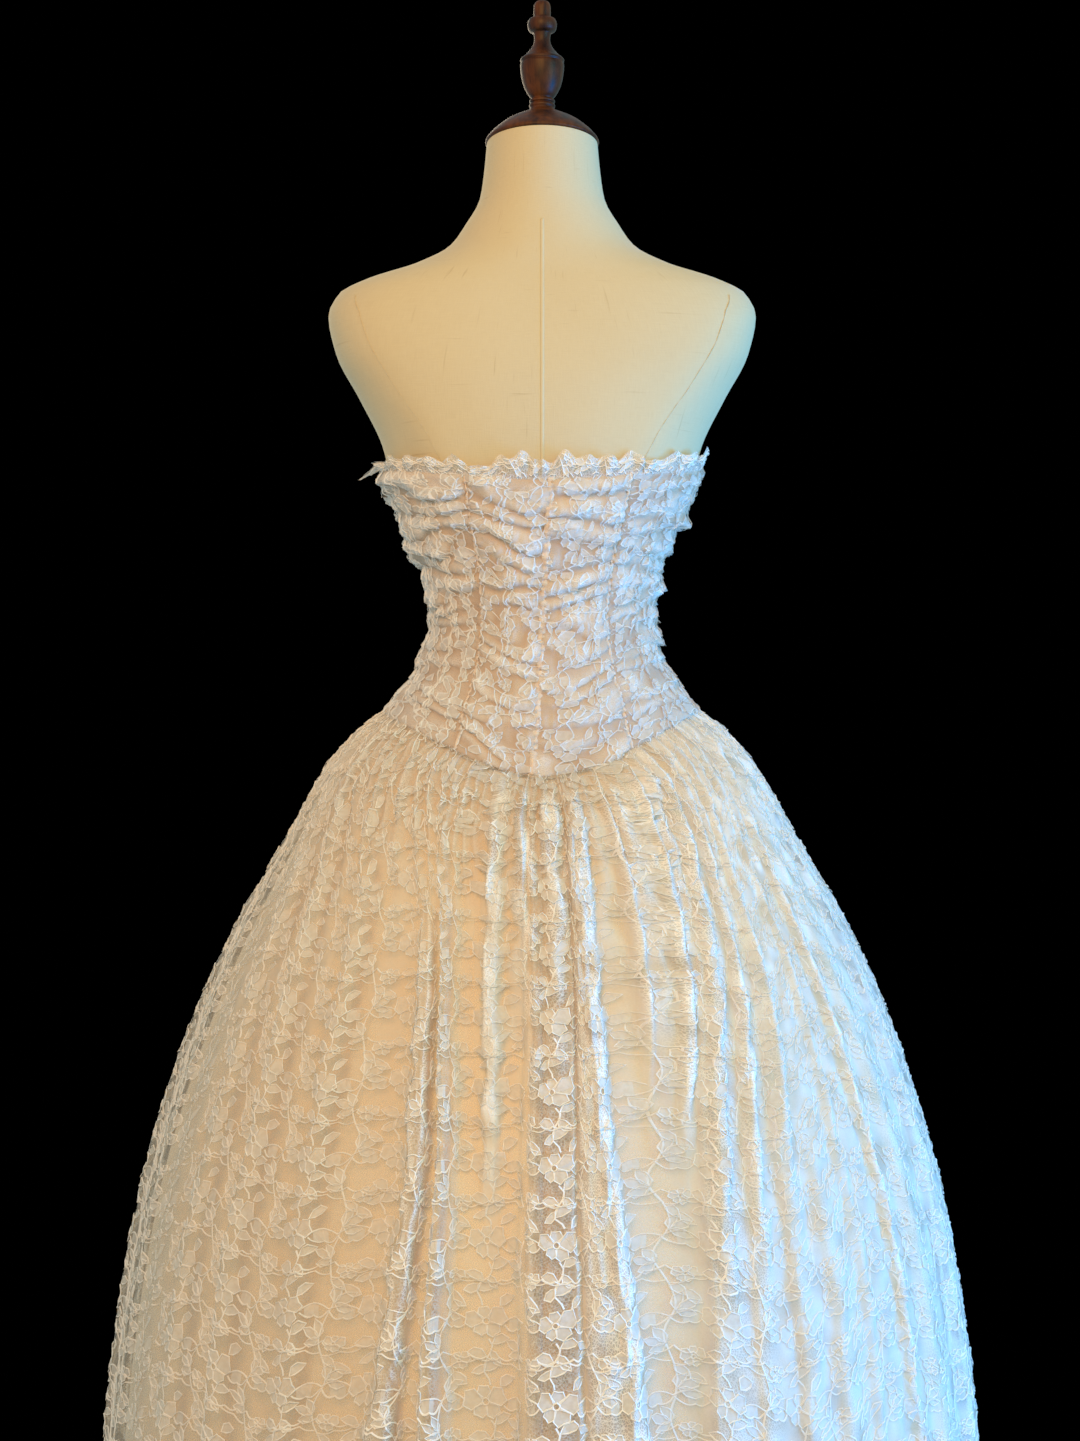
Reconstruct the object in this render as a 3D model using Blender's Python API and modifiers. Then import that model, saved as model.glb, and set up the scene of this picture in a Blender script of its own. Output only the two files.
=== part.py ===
"""A strapless ball gown of ruched and gathered lace over satin, standing on an armless dress form.

Metres, +Z up. The gown's front faces -Y and its centre back faces +Y, so the wearer's right is -X.
The origin is the middle of the stand's foot, on the floor. Angles round the gown start at the
centre back and grow towards the wearer's right.
"""

import math
from collections import namedtuple

import bmesh
import bpy
from mathutils import Vector

# ---- driving dimensions -------------------------------------------------------------------------

SEAM_GAP = 0.0003  # between pieces that meet on a flat or round face
EDGE_GAP = 0.0009  # between cloth pieces along a curved edge
PANEL_GAP = 0.0010  # between panels side by side, more than the seam gap as walls fan inwards
EASE = 0.0030  # between the form and the inside of the bodice
BODICE_WALL = 0.0022  # satin and lace sewn together as one layer
LACE_WALL = 0.0012
SATIN_WALL = 0.0012

NECK_BACK_Z = 1.188  # bodice edge at the centre back
NECK_SIDE_RISE = 0.020  # how much higher the edge is at the side seams
NECK_PEAK_RISE = 0.032  # and a further rise over each front cup
NECK_PEAK_ANGLE = 36.0  # of each cup's peak from the centre front
NECK_PEAK_SPREAD = 30.0  # degrees over which the rise fades
FRILL_HEIGHT = 0.013
FRILL_FLARE = 0.004
FRILL_WAVE = 0.0022
FRILL_WAVES = 36

BASQUE_POINT_Z = 0.922  # waist seam at the centre back and centre front
BASQUE_RISE = 0.058  # from there up to the side seams

RUCHE_TIERS = 7
RUCHE_DEPTH = 0.0055
RUCHE_UNEVEN = 0.2  # share by which a puff's depth changes along it
RUCHE_DROOP = 0.10  # share of a tier by which the puffs wander up and down

HEM_Z = 0.015
SATIN_HEM_RISE = 0.016
WAIST_STAND = 0.0065  # the lace's outer face from the inside of the bodice, at the waist seam
SATIN_CLEARANCE_TOP = 0.0028  # between the lace's inner face and the satin, measured outwards
SATIN_CLEARANCE_HEM = 0.0110
SATIN_CLEARANCE_GROWS = 0.25  # share of the length in which the hem's clearance is reached
HIP_SMOOTHING = 4.0  # how fast the skirt's section turns from hip-shaped to round
FOLD_AT_WAIST = 0.3  # share of a fold's depth that it has close under the seam
FOLD_STARTS_IN = 0.06  # share of the length in which it takes that depth
FOLD_GROWS_IN = 0.45  # and in which it takes the rest
GATHER_DEPTH = 0.0030
GATHER_STARTS_IN = 0.015
GATHER_REACH = 0.16  # share of the skirt's length in which the fine gathers die out

NECK_TILT = 0.105  # the neck's top slopes forward by this, metre per metre
NECK_TILT_FROM_Z = 1.450
BUST_Z = 1.200
BUST_HEIGHT = 0.052
BUST_ANGLE = 33.0
BUST_SPREAD = 26.0
BUST_FULLNESS = 0.019

POLE_RADIUS = 0.014
FOOT_RADIUS = 0.190
FOOT_THICKNESS = 0.012
FOOT_EDGE = 0.004

FORM_COLUMNS = 36
TURNED_STEPS = 28
COLUMN_STEP = 3.8  # degrees between columns of the lace skirt
FOLD_COLUMN_STEP = 1.2  # at least this between the columns on folds
SATIN_STEP = 7.5
BODICE_STEP = 6.4
WIDE_SECTION_STEP = 0.034  # the form takes a ring between sections further apart than this
SHARP_FROM = 40.0  # degrees between faces that show an edge

# ---- tables -------------------------------------------------------------------------------------

# The form from hip to neck: half width, depth to the back and to the front of the pole's axis, and
# how square the section is (2 is an ellipse).
Section = namedtuple("Section", "z half_width back front square")
FIGURE = (
    Section(z=0.800, half_width=0.146, back=0.104, front=0.088, square=2.1),
    Section(z=0.850, half_width=0.154, back=0.114, front=0.092, square=2.1),
    Section(z=0.920, half_width=0.152, back=0.110, front=0.094, square=2.1),
    Section(z=0.980, half_width=0.139, back=0.097, front=0.092, square=2.1),
    Section(z=1.020, half_width=0.110, back=0.084, front=0.087, square=2.1),
    Section(z=1.065, half_width=0.098, back=0.078, front=0.084, square=2.1),
    Section(z=1.105, half_width=0.102, back=0.083, front=0.090, square=2.1),
    Section(z=1.150, half_width=0.120, back=0.093, front=0.101, square=2.2),
    Section(z=1.190, half_width=0.139, back=0.100, front=0.110, square=2.3),
    Section(z=1.225, half_width=0.148, back=0.103, front=0.108, square=2.4),
    Section(z=1.270, half_width=0.170, back=0.101, front=0.096, square=2.5),
    Section(z=1.310, half_width=0.191, back=0.094, front=0.083, square=2.6),
    Section(z=1.345, half_width=0.198, back=0.084, front=0.071, square=2.6),
    Section(z=1.365, half_width=0.189, back=0.077, front=0.064, square=2.5),
    Section(z=1.378, half_width=0.165, back=0.072, front=0.059, square=2.3),
    Section(z=1.392, half_width=0.122, back=0.068, front=0.055, square=2.1),
    Section(z=1.410, half_width=0.087, back=0.063, front=0.052, square=2.0),
    Section(z=1.430, half_width=0.072, back=0.057, front=0.050, square=2.0),
    Section(z=1.455, half_width=0.058, back=0.053, front=0.051, square=2.0),
    Section(z=1.480, half_width=0.054, back=0.052, front=0.052, square=2.0),
    Section(z=1.506, half_width=0.0515, back=0.0515, front=0.0515, square=2.0),
)

# The bell of the skirt: share of the way from the waist seam to the hem, and radius.
Ring = namedtuple("Ring", "fall radius")
BELL = (
    Ring(fall=0.000, radius=0.1465),
    Ring(fall=0.022, radius=0.1730),
    Ring(fall=0.055, radius=0.2010),
    Ring(fall=0.120, radius=0.2375),
    Ring(fall=0.210, radius=0.2860),
    Ring(fall=0.330, radius=0.3320),
    Ring(fall=0.480, radius=0.3700),
    Ring(fall=0.660, radius=0.3945),
    Ring(fall=0.830, radius=0.4060),
    Ring(fall=1.000, radius=0.4130),
)

# The largest folds of the lace: where each stands, how wide its long and its short side are in
# degrees, how far it stands out at the hem, and how far down the skirt it begins.
Fold = namedtuple("Fold", "angle slope drop depth begins")
FOLDS = (
    Fold(angle=-163.0, slope=7.0, drop=3.5, depth=0.009, begins=0.02),
    Fold(angle=-148.0, slope=5.0, drop=5.0, depth=0.011, begins=0.08),
    Fold(angle=-131.0, slope=8.0, drop=3.5, depth=0.008, begins=0.00),
    Fold(angle=-115.0, slope=6.0, drop=4.0, depth=0.012, begins=0.05),
    Fold(angle=-99.0, slope=5.0, drop=6.0, depth=0.005, begins=0.12),
    Fold(angle=-84.0, slope=8.0, drop=4.0, depth=0.006, begins=0.03),
    Fold(angle=-67.0, slope=5.0, drop=5.0, depth=0.007, begins=0.10),
    Fold(angle=-52.0, slope=6.0, drop=4.0, depth=0.006, begins=0.15),
    Fold(angle=-39.0, slope=5.0, drop=5.0, depth=0.007, begins=0.06),
    Fold(angle=-27.0, slope=4.0, drop=4.0, depth=0.013, begins=0.10),
    Fold(angle=-14.5, slope=4.0, drop=4.0, depth=0.009, begins=0.04),
    Fold(angle=3.5, slope=4.5, drop=3.5, depth=0.011, begins=0.00),
    Fold(angle=15.5, slope=4.5, drop=4.5, depth=0.012, begins=0.00),
    Fold(angle=27.5, slope=6.0, drop=3.5, depth=0.009, begins=0.04),
    Fold(angle=41.0, slope=5.0, drop=5.0, depth=0.008, begins=0.02),
    Fold(angle=55.0, slope=5.0, drop=5.0, depth=0.008, begins=0.08),
    Fold(angle=69.0, slope=6.0, drop=4.0, depth=0.010, begins=0.02),
    Fold(angle=83.0, slope=6.0, drop=5.0, depth=0.009, begins=0.05),
    Fold(angle=101.0, slope=7.0, drop=4.0, depth=0.011, begins=0.03),
    Fold(angle=117.0, slope=5.0, drop=5.0, depth=0.008, begins=0.10),
    Fold(angle=134.0, slope=7.0, drop=4.0, depth=0.010, begins=0.02),
    Fold(angle=150.0, slope=5.0, drop=5.0, depth=0.012, begins=0.06),
    Fold(angle=170.0, slope=7.0, drop=5.0, depth=0.009, begins=0.00),
)

# Panels: the angles of their two side seams.
Panel = namedtuple("Panel", "name start end")
BODICE_PANELS = (
    Panel(name="bodice_back_left", start=-36.0, end=0.0),
    Panel(name="bodice_back_right", start=0.0, end=36.0),
    Panel(name="bodice_side_back_left", start=-90.0, end=-36.0),
    Panel(name="bodice_side_back_right", start=36.0, end=90.0),
    Panel(name="bodice_side_front_left", start=-145.0, end=-90.0),
    Panel(name="bodice_side_front_right", start=90.0, end=145.0),
    Panel(name="bodice_front", start=145.0, end=215.0),
)
LACE_PANELS = (
    Panel(name="skirt_lace_back_left", start=-58.0, end=0.0),
    Panel(name="skirt_lace_back_right", start=0.0, end=58.0),
    Panel(name="skirt_lace_side_left", start=-124.0, end=-58.0),
    Panel(name="skirt_lace_side_right", start=58.0, end=124.0),
    Panel(name="skirt_lace_front", start=124.0, end=236.0),
)
SATIN_PANELS = (
    Panel(name="skirt_satin_back_left", start=-90.0, end=0.0),
    Panel(name="skirt_satin_back_right", start=0.0, end=90.0),
    Panel(name="skirt_satin_front", start=90.0, end=270.0),
)

# Turned wood, from the top down: radius and height above the neck's top.
Turn = namedtuple("Turn", "radius height")
FINIAL = (
    Turn(radius=0.0000, height=0.1345),
    Turn(radius=0.0050, height=0.1335),
    Turn(radius=0.0078, height=0.1300),
    Turn(radius=0.0080, height=0.1190),
    Turn(radius=0.0125, height=0.1165),
    Turn(radius=0.0137, height=0.1115),
    Turn(radius=0.0122, height=0.1060),
    Turn(radius=0.0078, height=0.1035),
    Turn(radius=0.0074, height=0.0950),
    Turn(radius=0.0110, height=0.0875),
    Turn(radius=0.0190, height=0.0805),
    Turn(radius=0.0206, height=0.0785),
    Turn(radius=0.0200, height=0.0765),
    Turn(radius=0.0202, height=0.0700),
    Turn(radius=0.0180, height=0.0560),
    Turn(radius=0.0130, height=0.0460),
    Turn(radius=0.0100, height=0.0425),
    Turn(radius=0.0116, height=0.0405),
    Turn(radius=0.0108, height=0.0385),
    Turn(radius=0.0120, height=0.0365),
    Turn(radius=0.0116, height=0.0335),
    Turn(radius=0.0155, height=0.0300),
    Turn(radius=0.0000, height=0.0300),
)
CAP = (
    Turn(radius=0.0200, height=0.0296),
    Turn(radius=0.0330, height=0.0230),
    Turn(radius=0.0460, height=0.0110),
    Turn(radius=0.0520, height=0.0035),
    Turn(radius=0.0528, height=0.0010),
    Turn(radius=0.0515, height=0.0004),
)


# ---- the scene ----------------------------------------------------------------------------------


def clear_scene():
    for old in list(bpy.data.objects):
        bpy.data.objects.remove(old)


def collection_named(name):
    made = bpy.data.collections.new(name)
    bpy.context.scene.collection.children.link(made)
    return made


def material_named(name, colour, roughness, metallic=0.0, sheen=0.0):
    made = bpy.data.materials.new(name)
    made.use_nodes = True
    shader = made.node_tree.nodes["Principled BSDF"]
    shader.inputs["Base Color"].default_value = (*colour, 1.0)
    shader.inputs["Roughness"].default_value = roughness
    shader.inputs["Metallic"].default_value = metallic
    shader.inputs["Sheen Weight"].default_value = sheen
    made.diffuse_color = (*colour, 1.0)
    return made


def object_from(shape, name, material, collection):
    """A new object that holds the bmesh, which is used up."""
    mesh = bpy.data.meshes.new(name)
    shape.to_mesh(mesh)
    shape.free()
    mesh.materials.append(material)
    made = bpy.data.objects.new(name, mesh)
    collection.objects.link(made)
    return made


# ---- curves through the tables ------------------------------------------------------------------


def smoothstep(value):
    held = min(1.0, max(0.0, value))
    return held * held * (3.0 - 2.0 * held)


def slope_at(xs, ys, i):
    """The slope of the curve at row i, flat at a turning point so that it never overshoots."""
    if i == 0:
        return (ys[1] - ys[0]) / (xs[1] - xs[0])
    if i == len(xs) - 1:
        return (ys[-1] - ys[-2]) / (xs[-1] - xs[-2])
    before = (ys[i] - ys[i - 1]) / (xs[i] - xs[i - 1])
    after = (ys[i + 1] - ys[i]) / (xs[i + 1] - xs[i])
    if before * after <= 0.0:
        return 0.0
    return 2.0 * before * after / (before + after)


def table_value(rows, along, column, x):
    """Reads a table's column at x, on a smooth curve through its rows."""
    xs = [getattr(row, along) for row in rows]
    ys = [getattr(row, column) for row in rows]
    if x <= xs[0]:
        return ys[0]
    if x >= xs[-1]:
        return ys[-1]
    i = max(k for k in range(len(xs) - 1) if xs[k] <= x)
    span = xs[i + 1] - xs[i]
    t = (x - xs[i]) / span
    rise_in = slope_at(xs, ys, i) * span
    rise_out = slope_at(xs, ys, i + 1) * span
    return (
        ys[i] * (1 + 2 * t) * (1 - t) ** 2
        + rise_in * t * (1 - t) ** 2
        + ys[i + 1] * t * t * (3 - 2 * t)
        + rise_out * t * t * (t - 1)
    )


def from_front(angle):
    """Degrees from the centre front, from -180 to 180."""
    return (angle % 360.0) - 180.0


def at(angle, radius, z):
    """The point at this angle from the centre back and this distance from the axis."""
    turn = math.radians(angle)
    return Vector((-radius * math.sin(turn), radius * math.cos(turn), z))


# ---- the figure ---------------------------------------------------------------------------------


def bust(angle, z):
    """How far the two cups stand out of the plain section."""
    height = math.exp(-(((z - BUST_Z) / BUST_HEIGHT) ** 2))
    front = abs(from_front(angle))
    return BUST_FULLNESS * height * math.exp(-(((front - BUST_ANGLE) / BUST_SPREAD) ** 2))


def figure_radius(angle, z):
    """Distance from the axis to the form's surface."""
    turn = math.radians(angle)
    width = table_value(FIGURE, "z", "half_width", z)
    depth = table_value(FIGURE, "z", "back" if math.cos(turn) > 0 else "front", z)
    power = table_value(FIGURE, "z", "square", z)
    across = abs(math.sin(turn) / width) ** power + abs(math.cos(turn) / depth) ** power
    return across ** (-1.0 / power) + bust(angle, z)


def neck_tilt(y, z):
    """How much the slope of the neck's top lifts a point."""
    reach = FIGURE[-1].z - NECK_TILT_FROM_Z
    return y * NECK_TILT * smoothstep((z - NECK_TILT_FROM_Z) / reach)


# ---- lofts --------------------------------------------------------------------------------------


def grid_faces(shape, rows, around):
    """Quads between rows of points; around closes each row into a ring."""
    corners = [[shape.verts.new(point) for point in row] for row in rows]
    columns = len(corners[0])
    for upper, lower in zip(corners, corners[1:]):
        for i in range(columns if around else columns - 1):
            k = (i + 1) % columns
            shape.faces.new((upper[i], lower[i], lower[k], upper[k]))
    return corners


def wall(name, rows, thickness, material, collection):
    """An open sheet of points, rows from the top down, made a wall that grows inwards."""
    shape = bmesh.new()
    grid_faces(shape, rows, around=False)
    made = object_from(shape, name, material, collection)
    made.data.shade_smooth()
    solidify = made.modifiers.new("thickness", "SOLIDIFY")
    solidify.thickness = thickness
    solidify.offset = -1.0
    solidify.use_even_offset = True
    solidify.use_rim = True
    return made


def closed_loft(name, rows, material, collection):
    """A solid through closed rings of points, rows from the top down, with both ends filled."""
    shape = bmesh.new()
    rings = grid_faces(shape, rows, around=True)
    shape.faces.new(rings[0])
    shape.faces.new(reversed(rings[-1]))
    made = object_from(shape, name, material, collection)
    made.data.shade_smooth()
    made.data.set_sharp_from_angle(angle=math.radians(SHARP_FROM))
    return made


def turned(name, profile, base_z, material, collection):
    """A profile of radius and height, top first, spun round the Z axis with a Screw modifier."""
    shape = bmesh.new()
    points = [shape.verts.new((row.radius, 0.0, base_z + row.height)) for row in profile]
    for first, second in zip(points, points[1:]):
        shape.edges.new((first, second))
    made = object_from(shape, name, material, collection)
    screw = made.modifiers.new("turned", "SCREW")
    screw.steps = TURNED_STEPS
    screw.render_steps = TURNED_STEPS
    screw.use_merge_vertices = True
    screw.merge_threshold = 0.00005
    screw.use_smooth_shade = True
    return made


# ---- the bodice ---------------------------------------------------------------------------------


def neck_edge_z(angle):
    """Height of the bodice's top edge."""
    side = NECK_SIDE_RISE * min(1.0, 1.0 - math.cos(math.radians(angle)))
    cup = (abs(from_front(angle)) - NECK_PEAK_ANGLE) / NECK_PEAK_SPREAD
    return NECK_BACK_Z + side + NECK_PEAK_RISE * math.exp(-cup * cup)


def waist_seam_z(angle):
    """Height of the pointed waist seam."""
    return BASQUE_POINT_Z + BASQUE_RISE * math.sin(math.radians(angle)) ** 2


def column_angles(panel, step, extra=()):
    """Angles of a panel's columns, half a gap inside each seam, with the extra ones kept."""
    count = max(2, math.ceil((panel.end - panel.start) / step))
    even = [panel.start + (panel.end - panel.start) * i / count for i in range(count + 1)]
    inner = [a for a in even[1:-1] if all(abs(a - b) > step * 0.5 for b in extra)]
    return sorted([panel.start, *inner, *extra, panel.end])


def trimmed(panel, angle, radius):
    """The angle moved half the panel gap away from a seam that it lies on."""
    half_gap = math.degrees(0.5 * PANEL_GAP / radius)
    if angle <= panel.start:
        return angle + half_gap
    if angle >= panel.end:
        return angle - half_gap
    return angle


def ruched_radius(angle, z, row):
    """The bodice's outer face: even rows are pulled in by gathering, odd rows puff out."""
    uneven = 1.0 - RUCHE_UNEVEN * (1.0 - math.sin(math.radians(angle * 7.0) + row * 2.1))
    puff = RUCHE_DEPTH * uneven if row % 2 else 0.0
    return figure_radius(angle, z) + EASE + BODICE_WALL + puff


def bodice_panel(panel, material, collection):
    """One ruched panel, from the neck edge down to the waist seam."""
    rows = []
    last = 2 * RUCHE_TIERS
    dip = [180.0] if panel.start < 180.0 < panel.end else []
    angles = column_angles(panel, BODICE_STEP, dip)
    for row in range(last + 1):
        points = []
        for angle in angles:
            top, bottom = neck_edge_z(angle), waist_seam_z(angle)
            wander = RUCHE_DROOP * math.sin(math.radians(angle * 5.0) + row * 1.3)
            share = (row + (wander if 0 < row < last else 0.0)) / last
            z = top + (bottom - top) * share
            radius = ruched_radius(angle, z, row)
            points.append(at(trimmed(panel, angle, radius), radius, z))
        rows.append(points)
    return wall(panel.name, rows, BODICE_WALL, material, collection)


def neckline_frill(material, collection):
    """The lace heading that stands above the bodice's edge, open at the centre back."""
    rows = []
    whole = Panel(name="neckline_frill", start=0.0, end=360.0)
    for share in (1.0, 0.0):
        points = []
        for i in range(2 * FRILL_WAVES + 1):
            angle = 180.0 * i / FRILL_WAVES
            edge = neck_edge_z(angle)
            z = edge + EDGE_GAP + FRILL_HEIGHT * share
            wave = FRILL_WAVE * (1 if i % 2 else -1) * share
            radius = figure_radius(angle, z) + EASE + BODICE_WALL + FRILL_FLARE * share + wave
            points.append(at(trimmed(whole, angle, radius), radius, z))
        rows.append(points)
    return wall(whole.name, rows, LACE_WALL, material, collection)


# ---- the skirt ----------------------------------------------------------------------------------


def skirt_radius(angle, fall):
    """The bell without folds: hip-shaped at the waist seam and round further down."""
    top = figure_radius(angle, waist_seam_z(angle)) + EASE + WAIST_STAND
    flat = BELL[0].radius - top
    return table_value(BELL, "fall", "radius", fall) - flat * (1.0 - fall) ** HIP_SMOOTHING


def fold_height(angle, fall):
    """How far the folds stand out of the bell."""
    height = 0.0
    for fold in FOLDS:
        away = (angle - fold.angle + 180.0) % 360.0 - 180.0
        reach = fold.slope if away < 0 else fold.drop
        if abs(away) < reach:
            grown = FOLD_AT_WAIST * smoothstep(fall / FOLD_STARTS_IN)
            grown += (1.0 - FOLD_AT_WAIST) * smoothstep((fall - fold.begins) / FOLD_GROWS_IN)
            height += fold.depth * grown * (0.5 + 0.5 * math.cos(math.pi * away / reach))
    return height


def gather_height(column, fall):
    """The fine gathers under the waist seam: every second column stands out."""
    fade = smoothstep(fall / GATHER_STARTS_IN) * (1.0 - smoothstep(fall / GATHER_REACH))
    return GATHER_DEPTH * fade * (column % 2)


def fold_columns(panel):
    """The angles of fold feet and crests that fall inside a panel."""
    least = FOLD_COLUMN_STEP
    found = []
    for fold in FOLDS:
        for mark in (fold.angle - fold.slope, fold.angle, fold.angle + fold.drop):
            turned_in = (mark - panel.start) % 360.0 + panel.start
            apart = all(abs(turned_in - other) > least for other in found)
            if panel.start + least < turned_in < panel.end - least and apart:
                found.append(turned_in)
    return sorted(found)


def lace_panel(panel, material, collection):
    """One width of the gathered lace overskirt."""
    angles = column_angles(panel, COLUMN_STEP, fold_columns(panel))
    rows = []
    for ring in BELL:
        points = []
        for column, angle in enumerate(angles):
            top = waist_seam_z(angle) - EDGE_GAP
            z = top + (HEM_Z - top) * ring.fall
            radius = skirt_radius(angle, ring.fall) + fold_height(angle, ring.fall)
            radius += gather_height(column, ring.fall)
            points.append(at(trimmed(panel, angle, radius), radius, z))
        rows.append(points)
    return wall(panel.name, rows, LACE_WALL, material, collection)


def satin_panel(panel, material, collection):
    """One gore of the satin underskirt, which hangs just inside the lace."""
    rows = []
    for ring in (*BELL[::2], BELL[-1]):
        grown = smoothstep(ring.fall / SATIN_CLEARANCE_GROWS)
        clearance = SATIN_CLEARANCE_TOP + (SATIN_CLEARANCE_HEM - SATIN_CLEARANCE_TOP) * grown
        points = []
        for angle in column_angles(panel, SATIN_STEP):
            top = waist_seam_z(angle) - EDGE_GAP
            z = top + (HEM_Z + SATIN_HEM_RISE - top) * ring.fall
            radius = skirt_radius(angle, ring.fall) - LACE_WALL - clearance
            points.append(at(trimmed(panel, angle, radius), radius, z))
        rows.append(points)
    return wall(panel.name, rows, SATIN_WALL, material, collection)


# ---- the dress form -----------------------------------------------------------------------------


def form_heights():
    """Each section of the figure, with one ring between widely spaced ones."""
    heights = [FIGURE[0].z]
    for lower, upper in zip(FIGURE, FIGURE[1:]):
        if upper.z - lower.z > WIDE_SECTION_STEP:
            heights.append(0.5 * (lower.z + upper.z))
        heights.append(upper.z)
    return heights


def form_torso(material, collection):
    """The padded, linen-covered torso: smooth and armless, from hip to neck."""
    rows = []
    for z in reversed(form_heights()):
        ring = []
        for i in range(FORM_COLUMNS):
            angle = 360.0 * i / FORM_COLUMNS
            point = at(angle, figure_radius(angle, z), z)
            point.z += neck_tilt(point.y, z)
            ring.append(point)
        rows.append(ring)
    return closed_loft("form_torso", rows, material, collection)


def neck_cap(material, collection):
    """The wooden dish on the neck: level in the middle, its rim sloping with the neck's top."""
    rim = CAP[-2].radius
    rows = []
    for row in CAP:
        ring = []
        for i in range(FORM_COLUMNS):
            point = at(360.0 * i / FORM_COLUMNS, row.radius, FIGURE[-1].z + row.height)
            slope = smoothstep((row.radius - CAP[0].radius) / (rim - CAP[0].radius))
            point.z += point.y * NECK_TILT * slope
            ring.append(point)
        rows.append(ring)
    return closed_loft("form_neck_cap", rows, material, collection)


def pole(material, collection):
    bottom = FOOT_THICKNESS + SEAM_GAP
    top = FIGURE[0].z - SEAM_GAP
    bpy.ops.mesh.primitive_cylinder_add(
        vertices=TURNED_STEPS,
        radius=POLE_RADIUS,
        depth=top - bottom,
        location=(0.0, 0.0, 0.5 * (top + bottom)),
    )
    return adopt(bpy.context.object, "stand_pole", material, collection)


def foot(material, collection):
    """The weighted disc that the form stands on, with a rounded upper and lower edge."""
    bpy.ops.mesh.primitive_cylinder_add(
        vertices=2 * TURNED_STEPS,
        radius=FOOT_RADIUS,
        depth=FOOT_THICKNESS,
        location=(0.0, 0.0, 0.5 * FOOT_THICKNESS),
    )
    made = adopt(bpy.context.object, "stand_foot", material, collection)
    bevel = made.modifiers.new("rounded_edge", "BEVEL")
    bevel.width = FOOT_EDGE
    bevel.segments = 2
    bevel.limit_method = "ANGLE"
    return made


def adopt(made, name, material, collection):
    """Names a primitive, gives it its material and moves it to the part's collection."""
    made.name = name
    made.data.name = name
    made.data.materials.append(material)
    made.data.shade_smooth()
    made.data.set_sharp_from_angle(angle=math.radians(SHARP_FROM))
    for holder in list(made.users_collection):
        holder.objects.unlink(made)
    collection.objects.link(made)
    return made


# ---- put together -------------------------------------------------------------------------------


def main():
    clear_scene()
    gown = collection_named("ball_gown")
    form = collection_named("dress_form")

    lace = material_named("ivory_lace", (0.86, 0.80, 0.73), roughness=0.75, sheen=0.3)
    ruched = material_named("ruched_lace", (0.84, 0.72, 0.62), roughness=0.7, sheen=0.3)
    satin = material_named("champagne_satin", (0.83, 0.62, 0.45), roughness=0.35)
    linen = material_named("linen_cover", (0.80, 0.70, 0.53), roughness=0.85)
    wood = material_named("dark_stained_wood", (0.11, 0.035, 0.015), roughness=0.3)
    metal = material_named("painted_steel", (0.03, 0.03, 0.03), roughness=0.45, metallic=0.2)

    for panel in BODICE_PANELS:
        bodice_panel(panel, ruched, gown)
    neckline_frill(lace, gown)
    for panel in LACE_PANELS:
        lace_panel(panel, lace, gown)
    for panel in SATIN_PANELS:
        satin_panel(panel, satin, gown)

    form_torso(linen, form)
    neck_cap(wood, form)
    turned("form_finial", FINIAL, FIGURE[-1].z, wood, form)
    pole(metal, form)
    foot(metal, form)


main()
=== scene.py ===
"""A strapless ball gown of ruched and gathered lace over satin, on an armless dress form.

Metres, +Z up; the gown's front faces -Y. Angles round the gown are in degrees from the centre
back and grow towards the wearer's right, which is -X.
"""

import math
from collections import namedtuple

import bmesh
import bpy
import numpy as np
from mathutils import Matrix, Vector


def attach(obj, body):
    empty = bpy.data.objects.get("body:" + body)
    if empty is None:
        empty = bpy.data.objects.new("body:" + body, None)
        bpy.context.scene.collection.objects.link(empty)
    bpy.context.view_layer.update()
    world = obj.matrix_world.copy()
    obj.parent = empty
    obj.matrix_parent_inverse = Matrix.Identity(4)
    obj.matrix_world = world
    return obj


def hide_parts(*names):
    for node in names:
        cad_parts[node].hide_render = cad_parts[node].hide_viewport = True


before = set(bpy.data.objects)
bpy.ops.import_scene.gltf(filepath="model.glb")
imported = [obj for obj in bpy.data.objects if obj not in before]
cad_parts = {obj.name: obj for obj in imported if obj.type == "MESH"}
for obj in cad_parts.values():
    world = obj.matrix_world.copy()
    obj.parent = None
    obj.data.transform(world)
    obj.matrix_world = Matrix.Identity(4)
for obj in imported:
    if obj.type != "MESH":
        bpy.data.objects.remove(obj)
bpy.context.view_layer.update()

# ---- The dress form's torso ---------------------------------------------------------------------
# A padded, armless shell covered in plain linen, smooth from hip to neck. The linen is cut in
# panels, and each join shows as a narrow pressed welt.

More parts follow.
